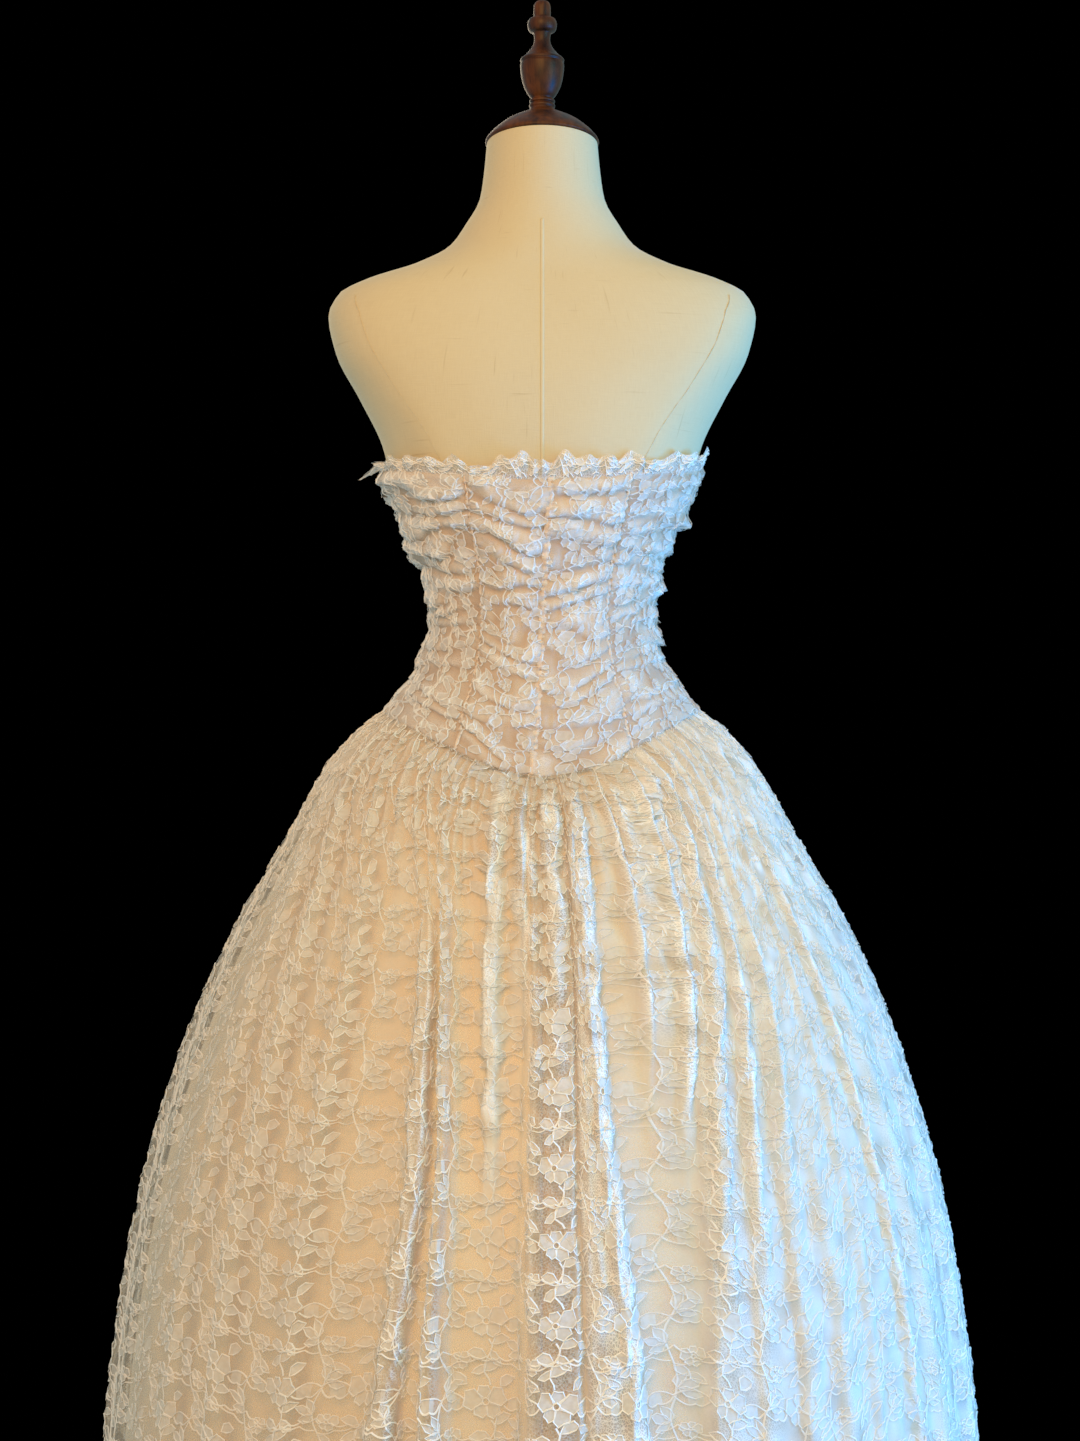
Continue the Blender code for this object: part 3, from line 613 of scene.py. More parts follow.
# A fold's middle thread, its width, height, how many degrees it takes to rise and to drop again
# across its width, and the shares of the fall where it begins and ends. A hollow is below nought.
Fold = namedtuple("Fold", "middle width height rise drop begins ends")
FOLDS = (
    Fold(middle=-163.0, width=9.0, height=0.011, rise=1.5, drop=6.0, begins=0.00, ends=2.0),
    Fold(middle=-149.0, width=8.0, height=0.012, rise=5.0, drop=1.4, begins=0.05, ends=2.0),
    Fold(middle=-132.0, width=9.0, height=0.010, rise=1.5, drop=6.0, begins=0.00, ends=2.0),
    Fold(middle=-115.0, width=8.0, height=0.010, rise=5.0, drop=1.4, begins=0.05, ends=2.0),
    Fold(middle=-99.0, width=8.0, height=0.006, rise=4.0, drop=4.0, begins=0.10, ends=2.0),
    Fold(middle=-85.0, width=8.0, height=0.005, rise=4.0, drop=4.0, begins=0.02, ends=2.0),
    Fold(middle=-68.0, width=6.5, height=0.005, rise=4.0, drop=2.4, begins=0.04, ends=2.0),
    Fold(middle=-53.0, width=6.0, height=0.006, rise=3.5, drop=1.6, begins=0.08, ends=2.0),
    Fold(middle=-41.5, width=5.5, height=0.007, rise=1.4, drop=3.4, begins=0.04, ends=2.0),
    Fold(middle=-31.5, width=5.0, height=0.008, rise=3.0, drop=1.3, begins=0.06, ends=2.0),
    Fold(middle=-25.5, width=6.6, height=-0.005, rise=4.5, drop=1.0, begins=0.04, ends=2.0),
    Fold(middle=-20.6, width=3.4, height=0.010, rise=0.6, drop=0.5, begins=0.13, ends=2.0),
    Fold(middle=-16.7, width=4.6, height=-0.009, rise=1.0, drop=1.0, begins=0.16, ends=2.0),
    Fold(middle=-12.4, width=4.0, height=0.009, rise=0.5, drop=1.9, begins=0.02, ends=2.0),
    Fold(middle=-6.3, width=7.8, height=-0.009, rise=0.9, drop=0.5, begins=0.06, ends=2.0),
    Fold(middle=-5.6, width=2.2, height=0.012, rise=0.5, drop=0.7, begins=0.00, ends=0.26),
    Fold(middle=-3.1, width=1.7, height=0.008, rise=0.5, drop=0.5, begins=0.00, ends=0.08),
    Fold(middle=1.5, width=6.8, height=0.009, rise=0.55, drop=0.7, begins=0.00, ends=2.0),
    Fold(middle=10.1, width=9.2, height=0.008, rise=0.8, drop=1.2, begins=0.00, ends=2.0),
    Fold(middle=14.6, width=2.3, height=0.009, rise=0.8, drop=0.6, begins=0.00, ends=2.0),
    Fold(middle=15.95, width=1.3, height=-0.008, rise=0.4, drop=0.2, begins=0.03, ends=0.22),
    Fold(middle=17.2, width=3.4, height=-0.006, rise=0.8, drop=1.4, begins=0.30, ends=2.0),
    Fold(middle=16.45, width=0.5, height=0.011, rise=0.35, drop=0.12, begins=0.00, ends=0.16),
    Fold(middle=17.75, width=1.3, height=0.009, rise=0.3, drop=0.7, begins=0.00, ends=0.24),
    Fold(middle=20.6, width=2.8, height=0.008, rise=0.8, drop=0.8, begins=0.00, ends=0.36),
    Fold(middle=21.4, width=6.0, height=0.004, rise=0.4, drop=3.6, begins=0.05, ends=2.0),
    Fold(middle=26.4, width=2.8, height=0.009, rise=0.8, drop=1.0, begins=0.00, ends=0.34),
    Fold(middle=32.6, width=2.8, height=0.008, rise=0.8, drop=1.0, begins=0.00, ends=0.28),
    Fold(middle=26.0, width=4.6, height=0.004, rise=1.0, drop=3.6, begins=0.40, ends=2.0),
    Fold(middle=32.8, width=5.4, height=0.006, rise=1.0, drop=4.0, begins=0.16, ends=2.0),
    Fold(middle=38.4, width=4.8, height=0.004, rise=1.4, drop=3.2, begins=0.36, ends=2.0),
    Fold(middle=44.0, width=3.4, height=0.005, rise=1.4, drop=1.8, begins=0.00, ends=2.0),
    Fold(middle=51.8, width=2.6, height=0.010, rise=1.1, drop=1.3, begins=0.10, ends=2.0),
    Fold(middle=59.8, width=7.0, height=0.006, rise=2.0, drop=4.4, begins=0.00, ends=2.0),
    Fold(middle=70.0, width=8.0, height=0.006, rise=3.0, drop=5.0, begins=0.02, ends=2.0),
    Fold(middle=85.0, width=8.0, height=0.005, rise=4.0, drop=4.0, begins=0.05, ends=2.0),
    Fold(middle=101.0, width=9.0, height=0.010, rise=6.0, drop=1.4, begins=0.03, ends=2.0),
    Fold(middle=117.0, width=8.0, height=0.008, rise=1.4, drop=5.5, begins=0.08, ends=2.0),
    Fold(middle=134.0, width=9.0, height=0.011, rise=6.0, drop=1.5, begins=0.02, ends=2.0),
    Fold(middle=150.0, width=8.0, height=0.012, rise=1.4, drop=5.0, begins=0.05, ends=2.0),
    Fold(middle=170.0, width=10.0, height=0.010, rise=5.0, drop=2.0, begins=0.00, ends=2.0),
)
RIDGE_WIDTH = 3.5  # a fold narrower than this stands up as a crumpled ridge of doubled lace

# The lace's length and its widths for each degree, in millimetres, for the size of its crumples.
SKIRT_FALL = 950.0
WAIST_DEGREE = 2.3
HEM_DEGREE = 7.0


def waist_seam_z(angle):
    """Height of the pointed waist seam."""
    return BASQUE_POINT_Z + BASQUE_RISE * np.sin(np.radians(angle)) ** 2


def bell_radius(angle, fall):
    """The skirt without folds: hip-shaped at the waist seam and round further down."""
    top = figure_radius(angle, waist_seam_z(angle)) + EASE + WAIST_STAND
    flat = BELL[0].radius - top
    return through(BELL, "fall", "radius", fall) - flat * (1.0 - fall) ** HIP_SMOOTHING


def wander(seed, angle, waves, most=1.0):
    """A smooth uneven curve round the gown, between about -most and most, the same each run."""
    picked = np.random.default_rng(seed)
    total = np.zeros(np.shape(angle))
    for wave in waves:
        total = total + np.sin(np.radians(angle * wave) + picked.uniform(0.0, 2.0 * math.pi))
    return most * total / math.sqrt(len(waves))


def crumple(seed, across, along, size, waves=16):
    """Smooth irregular relief with bumps of about this size, mostly between -1 and 1."""
    picked = np.random.default_rng(seed)
    total = np.zeros(np.broadcast(across, along).shape)
    for _ in range(waves):
        turn = picked.uniform(0.0, 2.0 * math.pi)
        pitch = 2.0 * math.pi / (size * picked.uniform(0.7, 1.7))
        start = picked.uniform(0.0, 2.0 * math.pi)
        total += np.sin(pitch * (math.cos(turn) * across + math.sin(turn) * along) + start)
    return total / math.sqrt(waves)


def crest(phase):
    """A row of folds: broad hollows and narrower crests, from 0 to 1."""
    return (0.5 + 0.5 * np.cos(phase)) ** 1.4


def skirt_rows(count, closer=1.45):
    """Shares of the fall, closer together under the waist seam."""
    return (np.linspace(0.0, 1.0, count) ** closer)[:, None]


def thread_angle(thread, fall):
    """Where a thread of the lace lies round the gown at a share of its fall."""
    held = from_back(thread)
    waist = through(THREADS, "hem", "waist", held)
    upper = through(THREADS, "hem", "upper", held)
    middle = through(THREADS, "hem", "middle", held)
    total = np.zeros(np.broadcast(thread, fall).shape)
    for shift in (-0.05, -0.025, 0.0, 0.025, 0.05):
        down = fall + shift * smoothstep(fall / 0.10)
        first = np.clip(down / UPPER_AT, 0.0, 1.0)
        second = np.clip((down - UPPER_AT) / (MIDDLE_AT - UPPER_AT), 0.0, 1.0)
        third = np.clip((down - MIDDLE_AT) / (HEM_AT - MIDDLE_AT), 0.0, 1.0)
        total = total + waist + (upper - waist) * first + (middle - upper) * second
        total = total + (held - middle) * third
    return total / 5.0 + (thread - held)


def edge_wander(thread, fall):
    """How many degrees the edges of the broad folds, and of the ridges, wander to and fro."""
    lively = 0.20 * np.sin(2.0 * math.pi * (3.3 * fall + thread / 37.0))
    lively = lively + 0.16 * np.sin(2.0 * math.pi * (8.1 * fall + thread / 19.0))
    lively = lively + 0.12 * np.sin(2.0 * math.pi * (17.3 * fall + thread / 7.0))
    straggling = 0.30 * np.sin(2.0 * math.pi * (15.7 * fall + thread / 5.0))
    straggling = straggling + 0.20 * np.sin(2.0 * math.pi * (22.3 * fall + thread / 3.1))
    settled = 0.30 + 0.70 * smoothstep(fall / 0.30)
    spacing = (thread_angle(thread + 0.2, fall) - thread_angle(thread - 0.2, fall)) / 0.4
    settled = settled / np.maximum(spacing, 1.0)
    return lively * settled, straggling * settled


def folded(thread, fall):
    """How far the folds stand out from the bell, and how much of each is a doubled ridge."""
    out = np.zeros(np.broadcast(thread, fall).shape)
    ridge = np.zeros_like(out)
    lively, straggling = edge_wander(thread, fall)
    for fold in FOLDS:
        narrow = fold.width < RIDGE_WIDTH
        bent = thread + lively + (straggling if narrow else 0.0)
        across = from_back(bent - fold.middle)
        up = smoothstep((across + fold.width / 2.0) / fold.rise)
        down = smoothstep((fold.width / 2.0 - across) / fold.drop)
        grown = smoothstep((fall - fold.begins + 0.05) / 0.11) * smoothstep(fall / 0.024)
        least = 0.60 if narrow else 0.40
        grown = grown * (least + (1.0 - least) * smoothstep(fall / 0.30))
        grown = grown * (1.0 - smoothstep((fall - fold.ends) / 0.14))
        out = out + fold.height * up * down * grown
        doubled = min(1.0, max(0.0, (RIDGE_WIDTH - fold.width) / 0.7))
        inside = fold.width / 2.0 - np.abs(across)
        turned_edge = up * down * (1.0 - smoothstep((inside - fold.rise) / 0.7))
        if fold.height > 0.008:
            edged = (0.9 if narrow else 0.35) * turned_edge * (1.0 - doubled)
            ridge = np.maximum(ridge, np.maximum((up * down) ** 2 * doubled, edged) * grown**0.5)
    return out, ridge


def drape(thread, fall):
    """How far the lace stands out, folds and gathers together, and how doubled it is."""
    out, ridge = folded(thread, fall)
    waist = through(THREADS, "hem", "waist", from_back(thread))
    round_waist, round_hem, along = waist * WAIST_DEGREE, thread * HEM_DEGREE, fall * SKIRT_FALL
    # Gathers at the seam, which run together two by two further down.
    restless = 1.2 * crumple(47, round_waist, along, 34.0)
    fine = crest(np.radians(waist * 88) + wander(41, waist, (5, 9, 13), 1.8) + restless)
    fine_on = smoothstep(fall / 0.010) * (1.0 - smoothstep((fall - 0.025) / 0.13))
    half = crest(np.radians(waist * 46) + wander(42, waist, (4, 7, 11), 2.4) + restless)
    half_on = smoothstep((fall - 0.006) / 0.02) * (1.0 - smoothstep((fall - 0.08) / 0.26))
    half_on = half_on * (1.0 - 0.5 * smoothstep((np.abs(thread) - 45.0) / 30.0))
    # On the right the lace lies doubled, with gaps between its gathers higher up.
    high = 1.0 - smoothstep((fall - 0.10) / 0.22)
    lower = smoothstep((fall - 0.18) / 0.20)
    closed_up = smoothstep((thread - 16.45 - 0.35 * lower) / (0.15 + 1.05 * lower))
    closed_up = closed_up * (1.0 - smoothstep((thread - 70.0) / 30.0))
    patch = smoothstep(0.5 + 0.9 * crumple(50, round_waist, fall * 400.0, 38.0))
    gap = (1.0 - smoothstep((half - 0.06) / 0.3)) * (0.35 + 0.65 * patch)
    closed_up = closed_up * (0.54 + high * (0.26 - 0.56 * gap))
    ridge = np.maximum(ridge, closed_up)
    # A broad band beside the centre is doubled too.
    band = smoothstep((thread - 5.2) / 0.8) * (1.0 - smoothstep((thread - 14.2) / 0.8))
    ridge = np.maximum(ridge, 0.62 * band * smoothstep((fall - 0.10) / 0.16))
    # Shallow folds lower down, between the others.
    soft = crest(np.radians(thread * 31) + wander(43, thread, (2, 5, 8), 1.7))
    soft_on = smoothstep((fall - 0.14) / 0.25) * (0.35 + 0.65 * smoothstep(np.abs(thread) / 30.0))
    uneven = 0.6 + 0.4 * wander(44, waist, (3, 5, 9))
    out = out + 0.0044 * fine * fine_on + 0.0064 * half * half_on * uneven
    out = out + 0.0028 * soft * soft_on
    # Painted highlight: the net is paler and closed up on the crests of the gathers, more strongly from
    # just left of the centre rightwards.
    ridge = np.maximum(ridge, 0.50 * fine**3 * fine_on)
    painted_crest_highlight = 0.34 + 0.50 * smoothstep((thread + 7.0) / 6.0)
    ridge = np.maximum(ridge, painted_crest_highlight * smoothstep((half - 0.2) / 0.4) * half_on * uneven)
    # The lace is never quite flat: a little slack all over, and ruffled under the seam.
    slack = 0.0009 * crumple(46, round_hem, along, 26.0) * smoothstep(fall / 0.1)
    ruffled = 0.0012 * crumple(48, round_waist, along, 11.0)
    ruffled = ruffled * smoothstep(fall / 0.012) * (1.0 - smoothstep((fall - 0.03) / 0.14))
    ridge = ridge * np.clip(0.75 + 0.35 * crumple(49, round_hem, along, 30.0), 0.2, 1.0)
    return out + slack + ruffled, ridge


def turned_in(fall):
    """1 at the waist seam, where the skirt is turned in under the bodice, and 0 just below it."""
    return 1.0 - smoothstep((fall - 0.003) / 0.011)


def lace_surface(thread, fall):
    """Points of the lace."""
    angle = thread_angle(thread, fall)
    out, _ = drape(thread, fall)
    under = turned_in(fall)
    top = waist_seam_z(angle) - EDGE_GAP
    z = top + (HEM_Z - top) * fall + TURN_UP * under
    return at(angle, bell_radius(angle, fall) + out - LACE_INSET - TURN_IN * under, z)


# ---- The satin underskirt -----------------------------------------------------------------------
# Three gores of peach-cream satin cut to a bell, seamed at the centre back and the sides, and sewn
# into the pointed waist seam with the lace. It holds the skirt's shape and shows through the lace.

SATIN_HEM_RISE = 0.016
SATIN_CLEARANCE_TOP = 0.0050
SATIN_CLEARANCE_HEM = 0.0150


def satin_surface(angle, fall):
    """Points of the satin, inside the lace and in soft folds of its own lower down."""
    grown = smoothstep(fall / 0.22)
    clearance = SATIN_CLEARANCE_TOP + (SATIN_CLEARANCE_HEM - SATIN_CLEARANCE_TOP) * grown
    folds = crest(np.radians(angle * 14) + wander(32, angle, (3, 4, 6), 1.3))
    uneven = 0.5 + 0.5 * wander(31, angle, (2, 5, 7))
    clearance = clearance + 0.0030 * turned_in(fall)
    top = waist_seam_z(angle) - EDGE_GAP
    z = top + (HEM_Z + SATIN_HEM_RISE - top) * fall
    return at(angle, bell_radius(angle, fall) - clearance - 0.004 * folds * uneven * grown, z)


def cloth_run(points, axis):
    """Distance along rows or columns of points, from the first one."""
    step = np.linalg.norm(np.diff(points, axis=axis), axis=-1)
    zero = np.zeros_like(np.take(step, [0], axis=axis))
    return np.concatenate((zero, np.cumsum(step, axis=axis)), axis=axis)


def thicken(cloth, thickness):
    """Gives a cloth its thickness, inwards from its points."""
    modifier = cloth.modifiers.new("thickness", "SOLIDIFY")
    modifier.thickness = thickness
    modifier.offset = -1.0


def mark(mesh, name, values):
    """Keeps one number for each point of a mesh, for its material to read."""
    kept = mesh.attributes.new(name, "FLOAT", "POINT")
    kept.data.foreach_set("value", np.asarray(values, np.float32).ravel())


def satin_material(name, colour, shade, covered):
    """Soft satin, cloudy in tone, with painted shade where the lace's folds stand over it and just
    under the waist seam.
    """
    made, shader = new_material(name, colour, roughness=0.42, sheen=0.15)
    tree = made.node_tree
    link = tree.links.new
    flat = node(tree, "ShaderNodeUVMap", uv_map="UVMap")
    cloudy = node(tree, "ShaderNodeTexNoise", Scale=11.0, Detail=3.0)
    link(flat.outputs["UV"], cloudy.inputs["Vector"])
    stretch = node(tree, "ShaderNodeMapping")
    stretch.inputs["Scale"].default_value = (120.0, 1400.0, 1.0)
    link(flat.outputs["UV"], stretch.inputs["Vector"])
    threads = node(tree, "ShaderNodeTexNoise", Scale=1.0, Detail=2.0)
    link(stretch.outputs["Vector"], threads.inputs["Vector"])
    amount = node(tree, "ShaderNodeMath", operation="MULTIPLY_ADD", use_clamp=True)
    link(threads.outputs["Fac"], amount.inputs[0])
    amount.inputs[1].default_value = 0.15
    link(cloudy.outputs["Fac"], amount.inputs[2])
    spread = node(tree, "ShaderNodeMapRange")
    spread.inputs["From Min"].default_value = 0.38
    spread.inputs["From Max"].default_value = 0.78
    link(amount.outputs[0], spread.inputs["Value"])
    mixed = node(tree, "ShaderNodeMix", data_type="RGBA")
    mixed.inputs["A"].default_value = (*colour, 1.0)
    mixed.inputs["B"].default_value = (*shade, 1.0)
    link(spread.outputs["Result"], mixed.inputs["Factor"])
    # Painted shade: an attribute darkens the satin towards the last colour where the lace's folds stand
    # over it.
    over = node(tree, "ShaderNodeAttribute", attribute_name="covered")
    painted_shade_mix = node(tree, "ShaderNodeMix", data_type="RGBA")
    link(over.outputs["Fac"], painted_shade_mix.inputs["Factor"])
    link(mixed.outputs["Result"], painted_shade_mix.inputs["A"])
    painted_shade_mix.inputs["B"].default_value = (*covered, 1.0)
    link(painted_shade_mix.outputs["Result"], shader.inputs["Base Color"])
    bump = node(tree, "ShaderNodeBump", Strength=0.25, Distance=0.0006)
    link(cloudy.outputs["Fac"], bump.inputs["Height"])
    link(bump.outputs["Normal"], shader.inputs["Normal"])
    return made


# The last colour is painted shade, for under the lace's folds and the waist seam.
SATIN = satin_material(
    "champagne_satin", colour=(0.88, 0.71, 0.47), shade=(0.86, 0.65, 0.39), covered=(0.64, 0.43, 0.25)
)

Panel = namedtuple("Panel", "name start end")
SATIN_GORES = (
    Panel(name="skirt_satin_back_left", start=-90.0, end=0.0),
    Panel(name="skirt_satin_back_right", start=0.0, end=90.0),
    Panel(name="skirt_satin_front", start=90.0, end=270.0),
)

for gore in SATIN_GORES:
    angle = np.linspace(gore.start, gore.end, int(gore.end - gore.start) + 1)[None, :]
    fall = skirt_rows(48)
    points = satin_surface(angle, fall)
    down = cloth_run(points, axis=0)
    across = cloth_run(points, axis=1)
    uv = np.stack((across - across[:, -1:] / 2.0, down[-1:] - down), axis=-1)
    mesh = sheet_mesh(points, uv)
    # Painted shade on the satin: darker where the lace's folds stand over it and just under the waist
    # seam, and less so on the right higher up.
    thread = np.linspace(gore.start - 40.0, gore.end + 40.0, 1800)[None, :]
    stand, _ = drape(thread, fall)
    where = thread_angle(thread, fall)
    over = np.array([np.interp(angle[0], where[i], stand[i]) for i in range(len(fall))])
    painted_shade = smoothstep((over - 0.001) / 0.010) * smoothstep(fall / 0.06)
    gathered = 0.7 * (1.0 - smoothstep((fall - 0.015) / 0.10))
    less_painted_shade = smoothstep((angle - 12.0) / 12.0) * (1.0 - smoothstep((angle - 70.0) / 30.0))
    less_painted_shade = 1.0 - 0.6 * less_painted_shade * (1.0 - smoothstep((fall - 0.25) / 0.25))
    mark(mesh, "covered", np.maximum(painted_shade, gathered) * less_painted_shade)
    made = shown(mesh, gore.name + "_cloth", SATIN)
    thicken(made, 0.0006)
    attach(made, "root")
    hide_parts(gore.name)

# ---- The lace -----------------------------------------------------------------------------------
# Ivory lace on a fine net ground. Each repeat holds a wide flower with a leafy spray under it,
# scalloped swags, a winding stem with fans of leaves, and a small flower. The petals and leaves
# are closely worked, and edged in soft cord.

REPEAT_WIDTH = 0.074
REPEAT_HEIGHT = 0.060
CORD_WIDTH = 0.0014
CORD_LIFT = 0.0004
CORD_TILT = 0.0009  # how far a cord's lower edge stands up
WORKED_LIFT = 0.0002
PETAL_CURL = 0.0007  # how far a petal's outer edge stands up


class Motif:
    """One shape of the lace, drawn flat in millimetres round its repeat's middle."""

    def __init__(self, name):
        self.name = name
        self.shape = bmesh.new()
        self.cord = self.shape.faces.layers.int.new("cord")
        # under weighs the painted shade on a cord's lower edge.
        self.under = self.shape.verts.layers.float.new("under")

    def corded(self, points, closed=False, width=CORD_WIDTH, lift=0.0):
        """A flat cord along the points, its lower edge standing up so that it shades the net, and
        marked for painted shade.
        """
        line = np.array(points, float) * 0.001
        ahead = np.roll(line, -1, axis=0) - np.roll(line, 1, axis=0)
        if not closed:
            ahead[0] = line[1] - line[0]
            ahead[-1] = line[-1] - line[-2]
        side = np.stack((-ahead[:, 1], ahead[:, 0]), axis=-1)
        side = side / np.linalg.norm(side, axis=-1)[:, None]
        level = CORD_LIFT + np.broadcast_to(lift, len(line))
        edges = []
        for way in (1.0, -1.0):
            edge = line + way * side * width / 2.0
            tilt = CORD_TILT * (-way * side[:, 1]).clip(0.0)
            under = 0.5 - 0.5 * way * side[:, 1]
            edges.append(self.row_of_points(edge, level + tilt, under))
        left, right = edges
        for i in range(len(line) if closed else len(line) - 1):
            k = (i + 1) % len(line)
            face = self.shape.faces.new((right[i], right[k], left[k], left[i]))
            face[self.cord] = 1

    def row_of_points(self, flat, heights, under):
        """Points at their heights; under, the weight of the painted shade, is 1 on a cord's lower edge
        and 0 on its upper one.
        """
        row = [self.shape.verts.new((*spot, height)) for spot, height in zip(flat, heights)]
        for point, low in zip(row, under):
            point[self.under] = low
        return row

    def worked(self, points, lift=0.0):
        """A closely worked area inside an outline."""
        rim = np.array(points, float) * 0.001
        heights = WORKED_LIFT + np.broadcast_to(lift, len(rim))
        self.shape.faces.new(self.row_of_points(rim, heights, [0.0] * len(rim)))

    def made(self):
        """The finished motif as an object, its faces all upwards."""
        self.shape.normal_update()
        for face in self.shape.faces:
            if face.normal.z < 0.0:
                face.normal_flip()
        mesh = bpy.data.meshes.new(self.name)
        self.shape.to_mesh(mesh)
        self.shape.free()
        return bpy.data.objects.new(self.name, mesh)


def placed(points, centre, turn, size=1.0):
    """Turns outline points, scales them and moves them to their place in the repeat."""
    c, s = math.cos(math.radians(turn)), math.sin(math.radians(turn))
    line = np.array(points, float) * size
    spun = np.stack((line[:, 0] * c - line[:, 1] * s, line[:, 0] * s + line[:, 1] * c), axis=-1)
    return spun + np.array(centre)


# Each petal's middle direction, its half spread in degrees, and its reach in millimetres.
Petal = namedtuple("Petal", "turn spread reach")
PETALS = (
    Petal(turn=92.0, spread=38.0, reach=12.0),
    Petal(turn=17.0, spread=37.0, reach=18.0),
    Petal(turn=167.0, spread=37.0, reach=16.5),
    Petal(turn=-54.0, spread=34.0, reach=14.5),
    Petal(turn=236.0, spread=36.0, reach=12.5),
)


def flower(motif, centre, size=1.0):
    """Five notched petals round a ringed eye."""
    for petal in PETALS:
        share = np.array((-1.0, -0.45, 0.0, 0.45, 1.0))
        turn = np.radians(petal.turn + petal.spread * share)
        notch = 1.0 - 0.11 * np.exp(-((share / 0.22) ** 2))
        reach = petal.reach * size * (1.0 - 0.30 * np.abs(share) ** 2.6) * notch
        edge = np.stack((reach * np.cos(turn), reach * np.sin(turn)), axis=-1) + centre
        inner = np.radians(petal.turn + np.array((0.75, -0.75)) * petal.spread)
        root = np.stack((np.cos(inner), np.sin(inner)), axis=-1) * 3.2 * size + centre
        curl = PETAL_CURL * size
        motif.worked(np.concatenate((edge, root)), lift=[curl] * len(edge) + [0.0, 0.0])
        rim = np.concatenate((root[1:], edge, root[:1]))
        motif.corded(rim, width=CORD_WIDTH * 0.75, lift=[0.0] + [curl] * len(edge) + [0.0])
    eye = np.radians(np.linspace(0.0, 360.0, 9)[:-1])
    ring = np.stack((np.cos(eye), np.sin(eye)), axis=-1) * 2.6 * size + centre
    motif.corded(ring, closed=True, width=CORD_WIDTH * 0.9)


def leaf(motif, root, turn, length, slim=0.54, bend=0.10):
    """A pointed, corded leaf that starts at its root and bends a little to one side."""
    t = np.array((0.0, 0.30, 0.68, 1.0))
    half = slim * np.array((0.0, 0.46, 0.46, 0.0))
    curve = bend * 4.0 * t * (1.0 - t)
    upper = np.stack((t, curve + half), axis=-1)
    lower = np.stack((t, curve - half * 0.8), axis=-1)[-2:0:-1]
    edge = placed(np.concatenate((upper, lower)) * length, root, turn)
    motif.worked(edge)
    motif.corded(edge, closed=True, width=CORD_WIDTH * 0.8)


def fan(motif, root, turn, length):
    """Three leaves from one root."""
    leaf(motif, root, turn - 42.0, length * 0.82, bend=-0.10)
    leaf(motif, root, turn + 42.0, length * 0.82)
    leaf(motif, root, turn, length, slim=0.46, bend=0.0)


def swagged(start, end, sag, count, scallop=0.0, scallops=5):
    """A line that hangs between two points, with scallops along its lower side."""
    a, b = np.array(start, float), np.array(end, float)
    t = np.linspace(0.0, 1.0, count)[:, None]
    drop = sag * 4.0 * t * (1.0 - t) + scallop * np.abs(np.sin(math.pi * scallops * t))
    return a + (b - a) * t - np.array((0.0, 1.0)) * drop


flower_shape = Motif("lace_flower")
flower(flower_shape, np.array((0.0, 2.0)))

spray_shape = Motif("lace_spray")
spray_line = ((2, -12), (5, -17), (4, -22), (0, -27), (-3, -32), (-3, -37), (1, -42), (2, -46))
spray_shape.corded(spray_line)
leaf(spray_shape, (5.0, -16.0), turn=22.0, length=15.0)
leaf(spray_shape, (3.5, -21.0), turn=-48.0, length=14.0, bend=-0.10)
leaf(spray_shape, (0.0, -26.0), turn=166.0, length=16.0, bend=-0.10)
leaf(spray_shape, (-2.5, -31.0), turn=214.0, length=13.0)
leaf(spray_shape, (-3.0, -36.0), turn=24.0, length=16.0)

swag_shape = Motif("lace_swags")
swag_shape.corded(swagged((-37.0, -20.0), (37.0, -20.0), 6.0, 31, 2.0, 6), width=CORD_WIDTH * 0.9)
swag_shape.corded(swagged((-36.0, -32.0), (36.0, -30.0), -4.0, 27, 1.8, 5), width=CORD_WIDTH * 0.8)

side_shape = Motif("lace_side_swags")
for way, low in ((1.0, 0.0), (-1.0, 2.0)):
    line = swagged((14.0, -1.0 + low), (37.0, 2.0), 4.0, 13, scallop=2.0, scallops=2)
    top = swagged((14.0, 1.0 + low), (37.0, 3.0), -4.0, 7)
    side_shape.corded(line * (way, 1.0), width=CORD_WIDTH * 0.9)
    side_shape.corded(top * (way, 1.0), width=CORD_WIDTH * 0.8)
    patch = np.concatenate((line[2:9:2], top[4:0:-1]))
    side_shape.worked(patch * (way, 1.0))
leaf(side_shape, (-14.0, 13.0), turn=140.0, length=15.0)
leaf(side_shape, (12.0, 14.0), turn=32.0, length=15.0)

stem_shape = Motif("lace_stem")
stem_y = np.linspace(-30.0, 30.0, 13)
stem_x = 37.0 + 4.5 * np.sin(2.0 * math.pi * stem_y / 60.0)
stem_shape.corded(np.stack((stem_x, stem_y), axis=-1), width=CORD_WIDTH * 0.9)
fan(stem_shape, (41.0, 8.0), turn=24.0, length=17.0)

fan_shape = Motif("lace_fan")
fan(fan_shape, (33.0, -18.0), turn=158.0, length=17.0)
leaf(fan_shape, (38.0, 26.0), turn=-38.0, length=13.0)

bud_shape = Motif("lace_small_flower")
flower(bud_shape, np.array((-25.0, -26.0)), size=0.55)

MOTIFS = [
    shape.made()
    for shape in (flower_shape, spray_shape, swag_shape, side_shape, stem_shape, fan_shape, bud_shape)
]
TURNED_MOTIFS = ("lace_flower", "lace_spray", "lace_small_flower")  # a little askew, at random
MOST_TURN = 0.16  # radians


